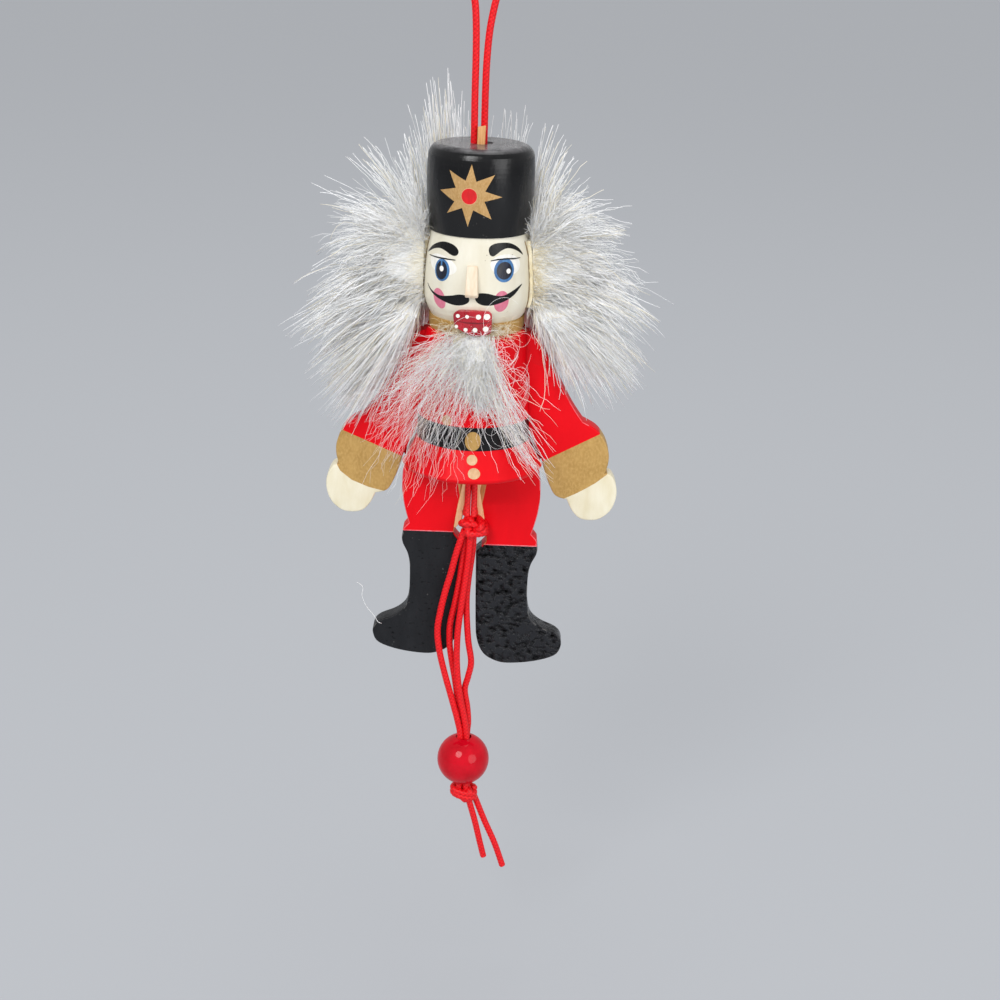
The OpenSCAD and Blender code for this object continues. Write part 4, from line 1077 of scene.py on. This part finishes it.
def combed(guides, locks):
    # one row for each lock, between neighbouring guides; a guide is root height, middle, tip and fullness
    fullness = np.array([g[3] for g in guides], float)
    chosen = rng.choice(len(guides), locks, p=fullness / fullness.sum())
    at = np.clip(chosen + rng.uniform(-0.5, 0.5, locks), 0, len(guides) - 1)
    values = np.array([[g[0], *g[1], *g[2]] for g in guides], float)
    return np.stack([np.interp(at, np.arange(len(guides)), values[:, k]) for k in range(5)], 1)


def reachShares(count, fur):
    # most of the pile is short, and only some strands reach the outline
    low, high = fur["short"]
    share = low + (high - low) * rng.uniform(0, 1, count) ** fur["shortPower"]
    long = rng.uniform(0, 1, count) < fur["longShare"]
    share[long] = rng.uniform(*fur["long"], long.sum())
    return share


def strandEnds(roots, middles, tips, share, fur, owner):
    # bend and tip of every strand: a lock's strands are combed one way and fray towards the tip
    locks, count = owner.max() + 1, len(owner)
    fray = rng.normal(size=(locks, 3))[owner] * fur["lockFray"] + rng.normal(size=(count, 3)) * fur["fray"]
    stray = rng.uniform(0, 1, count) < fur["strayShare"]
    fray[stray] += rng.normal(size=(stray.sum(), 3)) * fur["stray"]
    way = tips - roots
    length = np.linalg.norm(way, axis=1, keepdims=True)
    way = way + fray
    way *= length / np.linalg.norm(way, axis=1, keepdims=True)
    bendWay = middles + (middles - (roots + tips) / 2) * 0.5 - roots + fray * 0.45
    return roots + bendWay * share[:, None], roots + way * share[:, None]


hairGuides = {
    "left": [(-57.6, (-14.5, -46.2), (-18.1, -35.4), 0.55), (-58.7, (-18.8, -50.7), (-24.1, -40.4), 0.2),
             (-59.6, (-22.2, -50.2), (-34.9, -42.7), 0.25), (-60.4, (-23.2, -52.0), (-37.3, -47.0), 0.25),
             (-61.0, (-25.4, -54.3), (-37.3, -54.5), 0.8),
             (-62.8, (-25.4, -56.5), (-36.0, -61.8), 1), (-65.0, (-26.4, -61.0), (-37.8, -68.7), 1),
             (-67.3, (-26.4, -65.5), (-40.6, -75.7), 1), (-69.6, (-26.4, -71.2), (-40.8, -82.0), 1),
             (-71.0, (-25.2, -76.2), (-38.8, -88.0), 1), (-71.4, (-23.6, -80.8), (-35.2, -94.3), 0.9),
             (-71.6, (-21.2, -84.6), (-32.2, -100.7), 0.7), (-71.8, (-19.6, -84.6), (-28.6, -97.0), 0.3),
             (-72.0, (-17.6, -83.4), (-22.8, -91.0), 0.15)],
    "right": [(-57.4, (13.9, -45.2), (16.8, -35.6), 0.5), (-57.9, (17.3, -47.2), (23.1, -38.6), 0.4),
              (-58.6, (20.6, -48.2), (30.0, -44.9), 0.5), (-60.1, (23.0, -51.4), (33.4, -51.0), 0.6),
              (-61.9, (24.3, -55.4), (33.3, -56.3), 0.7), (-64.1, (26.7, -59.1), (36.1, -64.3), 1),
              (-66.3, (28.0, -62.8), (41.3, -69.2), 1), (-68.6, (28.3, -68.0), (40.2, -76.6), 1),
              (-70.8, (27.5, -72.6), (40.6, -82.0), 1), (-71.4, (25.4, -76.6), (37.6, -88.4), 0.7),
              (-71.6, (23.4, -80.4), (33.7, -91.7), 0.55), (-71.8, (21.4, -81.8), (27.6, -94.3), 0.4),
              (-72.0, (18.6, -81.6), (21.6, -92.2), 0.2)],
}
fuzzOnDown = {"strands": 4200, "width": 0.09, "length": (1.6, 5.5), "wild": 0.45, "curl": (0.2, 0.8)}
downMade = {"share": 0.4, "front": {"left": 77.5, "right": 74.5}, "columns": 110, "rows": 80, "rim": 9,
            "ragged": 0.3}


def guideValues(guides, share):
    # root height, reach sideways and reach upwards between the guides of a side
    values = np.array([(g[0], abs(g[2][0]) - 12.3, g[2][1] - g[0]) for g in guides], float)
    at = share * (len(guides) - 1)
    return np.stack([np.interp(at, np.arange(len(guides)), values[:, k]) for k in range(3)])


def downShell(name, down):
    # the matted undercoat: one soft body round the head, from one cheek over the back to the other
    rim = down["rim"]
    columns, rows = down["columns"] + 2 * rim, down["rows"] + 2 * rim
    turns = np.linspace(-down["front"]["left"], down["front"]["right"] - 360, down["columns"] + 1)
    turns = np.concatenate([np.full(rim, turns[0]), turns, np.full(rim, turns[-1])])
    shares = np.concatenate([np.zeros(rim), np.linspace(0, 1, down["rows"] + 1), np.ones(rim)])
    swell = {n: np.sin(np.pi / 2 * np.clip(np.minimum(np.arange(n + 1), np.arange(n, -1, -1)) / rim, 0, 1))
             for n in (columns, rows)}
    vertices, outward = [], []
    for i, turn in enumerate(turns):
        a = math.radians(turn)
        aside = float(smoothStep(abs(math.sin(a)), 0.1, 0.75))
        for j, share in enumerate(shares):
            side = guideValues(hairGuides["left" if math.sin(a) < 0 else "right"], share)
            back = np.array([-57.8 - 14 * share, 19.0, 9.0 - 20.0 * share])
            rootZ, out, up = side * aside + back * (1 - aside)
            ragged = 1 + down["ragged"] * noise.noise(Vector((j * 0.13, i * 0.09, 2.7)))
            ragged += 0.12 * noise.noise(Vector((j * 0.5, i * 0.3, 9.1)))
            ragged += 0.05 * noise.noise(Vector((j * 1.4, i, 5)))
            reach = down["share"] * (0.45 + 0.55 * float(smoothStep(share, 0.1, 0.45)))
            reach *= ragged * swell[columns][i] ** 0.8 * swell[rows][j] ** 0.8
            radius = 12.25 + out * reach
            x, y, z = math.sin(a) * radius, -math.cos(a) * radius, rootZ + up * reach
            beside = float(smoothStep(abs(x), 11.7, 13.0))
            lowest = -4 + 8.3 * float(armsWay(x, z, 8.5, 2.0))
            lowest += 0.5 * noise.noise(Vector((j * 0.9, i * 0.2, 0)))
            y = max(y, lowest) * beside + y * (1 - beside)
            vertices.append((x, y, z))
            outward.append((math.sin(a) * out, -math.cos(a) * out * 0.4, up))
    faces = quadsBetween(columns + 1, rows + 1, closed=False)
    dress(meshObject(name, np.array(vertices) * mm, faces, ["acrylicDown"]), "figure", "white_fur", "hair")
    return np.array(vertices), np.array(outward)


downSpots, downWays = downShell("hairDown", downMade)

for side, label in bothSides:
    # fine hair all over the undercoat, so that it has no edge of its own
    near = np.flatnonzero((downSpots[:, 0] * side > 6) & (downSpots[:, 1] < 9.5))
    chosen = rng.choice(near, fuzzOnDown["strands"])
    roots, ways = downSpots[chosen], downWays[chosen]
    ways = ways / np.linalg.norm(ways, axis=1)[:, None]
    ways = ways + rng.normal(size=ways.shape) * fuzzOnDown["wild"]
    ways[:, 1] -= 0.25
    reach = rng.uniform(*fuzzOnDown["length"], (len(chosen), 1))
    roots = roots - ways * 0.4
    bends = roots + ways * reach * 0.5 + rng.normal(size=ways.shape) * 0.5
    tips = roots + ways * reach
    tips[:, 2] -= 0.05 * reach[:, 0] ** 2
    strandMesh(f"hairFluff_{label}", roots, bends, tips, fuzzOnDown["width"],
               rng.uniform(*fuzzOnDown["curl"], len(chosen)), "white_fur", "hair", np.zeros(len(chosen), bool),
               crinkle=0.1)

hairMade = {
    "strands": 2500, "locks": 64, "width": 0.18, "short": (0.3, 0.92), "shortPower": 1.45, "longShare": 0.07,
    "long": (0.85, 1.04), "lockFray": 2.9, "fray": 2.7, "strayShare": 0.14, "stray": 6.0, "curl": (0.3, 1.7),
    "frontAngle": {"left": 80, "right": 77}, "spread": 34, "depth": (-4.0, 13.0), "frontLocks": 0.7,
    "frontBelow": -61, "lockReach": 0.58, "points": 12, "crinkle": 0.16,
}
nearMade = {  # short pile in front, along the face
    "strands": 1100, "locks": 70, "width": 0.12, "short": (0.16, 0.62), "shortPower": 1.0, "longShare": 0.02,
    "long": (0.7, 0.8), "lockFray": 2.5, "fray": 3.0, "strayShare": 0.12, "stray": 5.0, "curl": (0.2, 1.2),
    "frontAngle": {"left": 79, "right": 76}, "spread": 8, "depth": (-5.5, -1.5), "frontLocks": 0.8,
    "frontBelow": -61, "lockReach": 0.7, "points": 10, "crinkle": 0.14,
}
tuftMade = {  # the longest locks, which stay together up to the outline
    "strands": 460, "locks": 12, "width": 0.22, "short": (0.5, 0.99), "shortPower": 0.8, "longShare": 0.12,
    "long": (0.95, 1.06), "lockFray": 1.3, "fray": 1.25, "strayShare": 0.05, "stray": 3.0, "curl": (0.1, 0.8),
    "frontAngle": {"left": 80, "right": 77}, "spread": 16, "depth": (-3.5, 6), "frontLocks": 0.4,
    "frontBelow": -70, "lockReach": 0.92, "points": 12, "crinkle": 0.14,
}
tuftGuides = {side: [hairGuides[side][i] for i in chosen for _ in (0, 1)]
              for side, chosen in (("left", (0, 2, 5, 8, 10, 12)), ("right", (0, 2, 4, 7, 9)))}
layers = (("Pile", hairMade, hairGuides), ("Near", nearMade, hairGuides), ("Tufts", tuftMade, tuftGuides))
for layer, fur, guides, side, label in [(*layer, *oneSide) for layer in layers for oneSide in bothSides]:
    count = fur["strands"]
    locks = combed(guides[label], fur["locks"])
    depthShare = rng.uniform(0, 1, fur["locks"])
    owner = rng.integers(0, fur["locks"], count)
    backward = np.clip(depthShare[owner] + rng.normal(size=count) * 0.09, 0, 1)
    angle = np.radians(fur["frontAngle"][label] + fur["spread"] * backward ** 1.2)
    rootZ = np.clip(locks[owner, 0] + rng.normal(size=count) * 0.9, -71.9, -57.6)
    roots = onRound(side * angle, headRound, rootZ)
    low = (locks[:, 4] < fur["frontBelow"]) & (rng.uniform(0, 1, fur["locks"]) < fur["frontLocks"])
    inFront = (low & (depthShare < 0.75))[owner]
    depth = fur["depth"][0] + (fur["depth"][1] - fur["depth"][0]) * backward
    depth = np.where(inFront, -4.5 - 4.0 * backward, depth)
    middles = np.stack([locks[owner, 1], roots[:, 1] * 0.35 + depth * 0.65, locks[owner, 2]], 1)
    tips = np.stack([locks[owner, 3], depth, locks[owner, 4]], 1)
    share = reachShares(count, fur) * rng.uniform(fur["lockReach"], 1.0, fur["locks"])[owner]
    bends, tips = strandEnds(roots, middles, tips, share, fur, owner)
    strandMesh(f"hair{layer}_{label}", roots, bends, tips, fur["width"], rng.uniform(*fur["curl"], count),
               "white_fur", "hair", inFront, points=fur["points"], crinkle=fur["crinkle"])

jawMade = {"strands": 900, "locks": 34, "width": 0.14, "short": (0.25, 0.85), "shortPower": 0.9,
           "longShare": 0.12, "long": (0.8, 1.0), "lockFray": 1.6, "fray": 2.2, "strayShare": 0.1, "stray": 4.0,
           "curl": (0.2, 1.2), "frontAngle": {"left": (79, 96), "right": (77, 94)}}
for side, label in bothSides:
    # locks at the jaw that hang over the shoulder, in front of the arm
    fur, count = jawMade, jawMade["strands"]
    locks = combed(hairGuides[label][-4:], fur["locks"])
    owner = rng.integers(0, fur["locks"], count)
    angle = np.radians(rng.uniform(*fur["frontAngle"][label], fur["locks"])[owner] + rng.normal(size=count) * 2)
    roots = onRound(side * angle, headRound + 0.1, -69.4 - rng.uniform(0, 2.4, count))
    depth = -5.0 - rng.uniform(0, 3.5, fur["locks"])[owner] + rng.normal(size=count) * 0.6
    middles = np.stack([locks[owner, 1], depth, locks[owner, 2]], 1)
    tips = np.stack([locks[owner, 3], depth, locks[owner, 4]], 1)
    bends, tips = strandEnds(roots, middles, tips, reachShares(count, fur), fur, owner)
    bends[:, 1] = np.minimum(bends[:, 1], -4.0)
    strandMesh(f"jawLocks_{label}", roots, bends, tips, fur["width"], rng.uniform(*fur["curl"], count),
               "white_fur", "hair", np.ones(count, bool))

topGuides = [(-58.0, (-12.9, -41.2), (-14.7, -34.8), 0.7), (-58.0, (-10.1, -37.6), (-11.8, -27.8), 1),
             (-58.0, (-7.7, -34.4), (-8.7, -21.8), 1), (-58.0, (-4.8, -35.2), (-5.9, -26.4), 1),
             (-58.0, (-0.3, -38.5), (-0.2, -34.7), 0.3), (-58.0, (4.3, -36.2), (4.8, -32.3), 0.7),
             (-58.0, (7.6, -36.0), (8.3, -30.5), 0.9), (-58.0, (11.7, -38.1), (13.5, -32.9), 0.7),
             (-58.0, (15.0, -40.2), (17.4, -35.4), 0.5)]
topMade = {"strands": 520, "locks": 34, "width": 0.2, "short": (0.3, 0.86), "shortPower": 1.3,
           "longShare": 0.16, "long": (0.84, 1.02), "lockFray": 0.7, "fray": 1.1, "strayShare": 0.08,
           "stray": 2.5, "curl": (0.1, 0.5)}
fur, count = topMade, topMade["strands"]
locks = combed(topGuides, fur["locks"])
owner = rng.integers(0, fur["locks"], count)
angle = math.pi - np.clip(locks[owner, 1] / 16, -1, 1) * 1.15 + rng.normal(size=count) * 0.08
roots = onRound(angle, 12.2, -58 + rng.normal(size=count) * 0.8)
middles = np.stack([locks[owner, 1], 14.6 + rng.normal(size=count) * 0.5, locks[owner, 2] - 4], 1)
tips = np.stack([locks[owner, 3], 14.6 + rng.normal(size=count) * 1.0, locks[owner, 4]], 1)
share = reachShares(count, fur)
bends, tips = strandEnds(roots, middles, tips, share, fur, owner)
bends[:, 1] = np.maximum(bends[:, 1], 13.2)
tips[:, 1] = np.maximum(tips[:, 1], 12.6)
strandMesh("hairPile_top", roots, bends, tips, fur["width"], rng.uniform(*fur["curl"], count), "white_fur",
           "hair")

backMade = {"strands": 3600, "locks": 150, "width": 0.2, "length": (16, 23), "short": (0.35, 0.95),
            "shortPower": 1.1, "longShare": 0.1, "long": (0.85, 1.04), "lockFray": 2.0, "fray": 1.8,
            "strayShare": 0.06, "stray": 4.0, "curl": (0.1, 0.8)}
fur, count = backMade, backMade["strands"]
owner = rng.integers(0, fur["locks"], count)
angle = np.radians(rng.uniform(104, 256, fur["locks"])[owner] + rng.normal(size=count) * 4)
rootZ = np.clip(rng.uniform(-71.5, -57.8, fur["locks"])[owner] + rng.normal(size=count) * 0.8, -71.8, -57.6)
rise = (rootZ + 64.7) / 7
out = np.stack([np.sin(angle) * 1.1, -np.cos(angle) * 0.85, rise * 0.75 - 0.1], 1)
out /= np.linalg.norm(out, axis=1)[:, None]
length = rng.uniform(*fur["length"], fur["locks"])[owner][:, None]
roots = onRound(angle, headRound, rootZ)
middles = roots + out * length * 0.52
tips = roots + out * length
tips[:, 2] -= 6.5
share = reachShares(count, fur)
bends, tips = strandEnds(roots, middles, tips, share, fur, owner)
bends[:, 1] = np.minimum(bends[:, 1], 27)
tips[:, 1] = np.minimum(tips[:, 1], 27)
strandMesh("hairPile_back", roots, bends, tips, fur["width"], rng.uniform(*fur["curl"], count), "white_fur",
           "hair", np.zeros(count, bool))

beardDown = {  # half widths of the beard's matted core at each height, and its middle
    "heights": [-76.8, -78.3, -81.0, -84.5, -88.5, -92.0], "middle": [-0.6, -0.6, -0.3, 0.2, 0.9, 1.9],
    "wide": [1.8, 3.3, 3.7, 2.9, 1.7, 0.4], "deep": [0.3, 1.2, 1.8, 1.8, 1.2, 0.3],
}


def beardCore(name, down, rows=46, sides=40):
    # a soft tuft with no edge of its own, pressed against the jacket
    vertices = []
    tall = np.array(down["heights"][::-1])
    for i in range(rows + 1):
        z = down["heights"][0] + (tall[0] - down["heights"][0]) * i / rows
        middle, wide, deep = (float(np.interp(z, tall, down[key][::-1])) for key in ("middle", "wide", "deep"))
        for k in range(sides):
            t = 2 * math.pi * k / sides
            lump = 1 + 0.25 * noise.noise(Vector((math.cos(t) * 1.5, math.sin(t) * 1.5, i * 0.22)))
            lump += 0.12 * noise.noise(Vector((k * 0.9, i * 0.35, 1.5)))
            x = middle + wide * lump * math.cos(t)
            y = -math.sqrt(max(12.9 ** 2 - x ** 2, 1)) - max(0, -math.sin(t)) * deep * lump + 0.4
            vertices.append((x, y, z - 0.3 * lump))
    faces = quadsBetween(rows + 1, sides)
    faces += [tuple(range(sides)), tuple(rows * sides + k for k in reversed(range(sides)))]
    dress(meshObject(name, np.array(vertices) * mm, faces, ["beardFloss"]), "figure", "white_fur", "beard")
    return np.array(vertices)


beardSpots = beardCore("beardDown", beardDown)
# fine hair all over the core
beardFluffMade = {"strands": 1250, "width": 0.08, "length": (0.8, 3.4), "wild": 0.7}
count = beardFluffMade["strands"]
roots = beardSpots[rng.choice(np.flatnonzero(beardSpots[:, 1] < -12.6), count)]
ways = np.stack([roots[:, 0] * 0.16, np.full(count, -0.35), np.full(count, -0.45)], 1)
ways += rng.normal(size=(count, 3)) * beardFluffMade["wild"]
reach = rng.uniform(*beardFluffMade["length"], (count, 1))
roots[:, 1] += 0.2
tips = roots + ways * reach
tips[:, 1] = np.minimum(tips[:, 1], -13.2)
strandMesh("beardFluff", roots, roots + ways * reach * 0.5 + rng.normal(size=(count, 3)) * 0.7, tips,
           beardFluffMade["width"], rng.uniform(0.3, 1.1, count), "white_fur", "beard", points=12,
           waving=(1, 3), crinkle=0.25)

beardParts = {  # root x from, to, the guides that its locks follow, and how many strands it has
    "core": {
        "root": (-3.6, 3.8), "strands": 130, "locks": 50, "width": 0.075, "short": (0.14, 0.5), "top": 5.0,
        "curl": (0.8, 2.8), "fray": 3.8,
        "guides": [(-78.3, (-3.4, -85.0), (-4.6, -92.5), 1), (-78.3, (-1.0, -87.0), (-1.6, -95.5), 1.5),
                   (-78.3, (1.4, -88.5), (2.2, -97.5), 1.5), (-78.3, (3.0, -88.0), (5.0, -97.0), 1)]},
    "leftFan": {
        "root": (-6.5, 1.5), "strands": 390, "locks": 90, "width": 0.07, "bend": 3.6, "shortPower": 0.95,
        "longShare": 0.14, "short": (0.22, 0.98), "top": 5.0, "curl": (0.5, 2.2), "crimp": 0.4,
        "guides": [(-78.7, (-15.9, -85.1), (-26.3, -94.5), 1.3), (-78.7, (-15.2, -86.8), (-25.8, -100.5), 0.9),
                   (-78.6, (-13.3, -88.3), (-21.9, -102.4), 1.1), (-78.5, (-10.4, -90.5), (-18.6, -112.0), 1.1),
                   (-78.5, (-8.0, -92.7), (-14.6, -116.0), 0.7), (-78.4, (-4.9, -93.7), (-8.9, -113.4), 0.45),
                   (-78.4, (-2.3, -94.8), (-3.4, -109.6), 0.25)]},
    "rightFan": {
        "root": (-0.5, 4.0), "strands": 115, "locks": 18, "width": 0.115, "short": (0.45, 1.0), "top": 4.0,
        "lockFray": 0.7, "fray": 1.0, "curl": (0.2, 0.9), "bend": 0.9, "crimp": 0.2,
        "guides": [(-78.3, (0.4, -94.7), (1.3, -116.0), 0.15), (-78.2, (2.6, -91.5), (7.5, -105.9), 0.4),
                   (-78.2, (3.9, -92.5), (13.0, -107.3), 1.2), (-78.2, (4.6, -93.0), (15.4, -110.0), 2.6),
                   (-78.2, (5.4, -93.0), (17.4, -111.4), 1.6), (-78.1, (8.3, -84.1), (14.1, -96.2), 0.2)]},
}
beardMade = {"shortPower": 0.9, "longShare": 0.12, "long": (0.85, 1.02), "lockFray": 2.0, "fray": 3.0,
             "strayShare": 0.22, "stray": 6.0, "curl": (0.3, 1.6), "outward": -15.6, "crimp": 0.3, "bend": 2.2}
for part, values in beardParts.items():
    fur, count = {**beardMade, **values}, values["strands"]
    locks = combed(fur["guides"], fur["locks"])
    order = np.argsort(np.argsort(locks[:, 3])) / (fur["locks"] - 1)
    owner = rng.integers(0, fur["locks"], count)
    across = fur["root"][0] + (fur["root"][1] - fur["root"][0]) * order[owner] + rng.normal(size=count) * 0.8
    roots = onRound(across / 12.4, headRound, -76.2 - rng.uniform(0, 1, count) ** 1.3 * fur["top"])
    depth = fur["outward"] + np.abs(locks[owner, 3]) * 0.14 + rng.normal(size=count) * 0.8
    middles = np.stack([locks[owner, 1], np.minimum(depth, -14.6), locks[owner, 2]], 1)
    tips = np.stack([locks[owner, 3], depth, locks[owner, 4]], 1)
    bends, tips = strandEnds(roots, middles, tips, reachShares(count, fur), fur, owner)
    bends += rng.normal(size=(count, 3)) * fur["bend"]
    bends[:, 1] = np.minimum(bends[:, 1], -13.6)
    tips[:, 1] = np.minimum(tips[:, 1], np.where(np.abs(tips[:, 0]) < 14, -13.8, -8.5))
    strandMesh(f"beardPile_{part}", roots, bends, tips, fur["width"], rng.uniform(*fur["curl"], count),
               "white_fur", "beard", points=18, waving=(0.8, 3.2), crinkle=fur["crimp"])

curlLoops = {"strands": 52, "at": (7.0, -86.5), "spread": (4.5, 8.5), "radius": (0.9, 4.6),
             "within": (-3, 12.4)}
chinLoops = {"strands": 20, "at": (1.5, -78.2), "spread": (8.0, 1.6), "radius": (1.5, 5.0),
             "within": (-9, 10)}  # the few that cross the mouth's foot and the collar


def looseCurls(loops):
    # single fine hairs that curl over the jacket beside the beard
    routes = []
    for _ in range(loops["strands"]):
        centre = np.array(loops["at"]) + rng.normal(size=2) * np.array(loops["spread"]) * 0.7
        radius, turn = rng.uniform(*loops["radius"]), rng.uniform(0.35, 0.9)
        start = rng.uniform(0, 2 * math.pi)
        centre[0] = np.clip(centre[0], loops["within"][0] + radius, loops["within"][1] - radius)
        direction = rng.choice([-1, 1])
        route = []
        for t in np.linspace(0, 1, 12):
            a = start + direction * turn * 2 * math.pi * t
            x = centre[0] + radius * (1 - 0.25 * t) * math.cos(a)
            z = centre[1] + radius * math.sin(a) - 2.5 * t
            ahead = 13.1 + 0.8 * t + 0.3 * math.sin(3 * a)
            route.append((x, -math.sqrt(max(ahead ** 2 - x ** 2, 9.0)), z))
        routes.append(route)
    return routes


curlHair = {"diameter": 0.056, "stitch": 3, "relief": 0, "sides": 4, "ring": 0.6}
dress(braidMesh("beardCurls", looseCurls(curlLoops) + looseCurls(chinLoops), curlHair, "acrylicPileWhite")[0],
      "figure", "white_fur", "beard")

fuzzMade = {"band": 300, "collar": 420, "width": 0.085}
# short cream fibres stand out of the backing's front edges, and a few lie over the collar
for label, angle in (("left", -83), ("right", 73)):
    count = fuzzMade["band"]
    spin = np.radians(angle + np.sign(angle) * rng.uniform(0, 9, count))
    z = rng.uniform(-71.8, -57.8, count)
    roots = onRound(spin, 12.6, z)
    way = np.stack([np.sin(spin) * 1.3, -np.cos(spin) * 1.3 - 0.5, rng.normal(size=count) * 0.9], 1)
    way += rng.normal(size=(count, 3)) * 0.6
    length = rng.uniform(1.0, 3.4, (count, 1))
    strandMesh(f"backingFuzz_{label}", roots, roots + way * length * 0.4 + rng.normal(size=(count, 3)) * 0.3,
               roots + way * length * 0.8, fuzzMade["width"], rng.uniform(0.05, 0.4, count), "backing_cloth",
               "hair", mats=["knitBacking"])
count = fuzzMade["collar"]
spin = np.radians(rng.uniform(-46, 40, count))
roots = onRound(spin, 11.2, rng.uniform(-77.6, -74.6, count))
way = np.stack([rng.normal(size=count) * 1.4, np.full(count, -0.35), rng.normal(size=count) - 0.4], 1)
tips = roots + way * rng.uniform(0.8, 2.2, (count, 1))
strandMesh("collarFuzz", roots, (roots + tips) / 2 + (0, -0.7, 0.5), tips, fuzzMade["width"],
           rng.uniform(0.1, 0.6, count), "backing_cloth", "beard", mats=["knitBacking"])

strayFibre = [(-26.2, -2.6, -139.6), (-25.3, -2.7, -140.0), (-24.7, -2.6, -141.0), (-24.9, -2.7, -142.9),
              (-23.9, -2.7, -145.5), (-22.0, -2.7, -148.0), (-21.1, -2.7, -149.5), (-20.2, -2.65, -149.9)]
strayHair = {"diameter": 0.14, "stitch": 3, "relief": 0, "sides": 5, "ring": 0.3}
dress(braidMesh("strayFibre", [strayFibre], strayHair, "acrylicPileSilver")[0], "left_leg", "white_fur")

print("floor and light")
bpy.context.scene.cycles.diffuse_bounces = 12  # light passes on many times between white fibres
bpy.context.scene.cycles.max_bounces = 16
studio = {
    "floorHeight": -238.0,  # mm, below the tails of the pull cords
    "floorColour": "#B9BCC1",
    "evenShare": 0.6,  # share of the floor's look that the camera sees as an even tone, the rest is lit
    "world": 0.6,
    "lamps": [  # name, place in m, size in m, power in W
        ("keySoftbox", (-0.4, -0.85, 0.65), 0.6, 8.3),
        ("fillSoftbox", (0.7, -0.7, 0.15), 0.7, 3.5),
        ("topSoftbox", (0.05, 0.2, 0.9), 0.8, 3.5),
    ],
}


def addFloor(height, colour):
    half = 4.0
    corners = [(x * half, y * half, height * mm) for x, y in ((-1, -1), (1, -1), (1, 1), (-1, 1))]
    floor = meshObject("studioFloor", corners, [(0, 1, 2, 3)], [])
    mat, shader = newMaterial("paleBoard", Roughness=0.85)
    shader.inputs["Base Color"].default_value = linear(colour)
    rays = addNode(mat, "ShaderNodeLightPath").outputs["Is Camera Ray"]
    even = addNode(mat, "ShaderNodeMath", {0: rays, 1: studio["evenShare"]}, operation="MULTIPLY")
    tone = addNode(mat, "ShaderNodeEmission", {"Color": colour})
    both = addNode(mat, "ShaderNodeMixShader", {0: even, 1: shader, 2: tone})
    feed(mat, mat.node_tree.nodes["Material Output"], Surface=both)
    floor.data.materials.append(mat)


def addLamp(name, at, size, power, target=(0, 0, -0.09)):
    data = bpy.data.lights.new(name, "AREA")
    data.shape, data.size, data.energy = "DISK", size, power
    lamp = bpy.data.objects.new(name, data)
    bpy.context.scene.collection.objects.link(lamp)
    lamp.location = at
    lamp.rotation_mode = "QUATERNION"
    lamp.rotation_quaternion = (Vector(target) - Vector(at)).to_track_quat("-Z", "Y")


addFloor(studio["floorHeight"], studio["floorColour"])
for name, at, size, power in studio["lamps"]:
    addLamp(name, at, size, power)
world = bpy.data.worlds.new("studioWorld")
world.use_nodes = True
world.node_tree.nodes["Background"].inputs["Color"].default_value = linear("#F4F5F7")
world.node_tree.nodes["Background"].inputs["Strength"].default_value = studio["world"]
bpy.context.scene.world = world
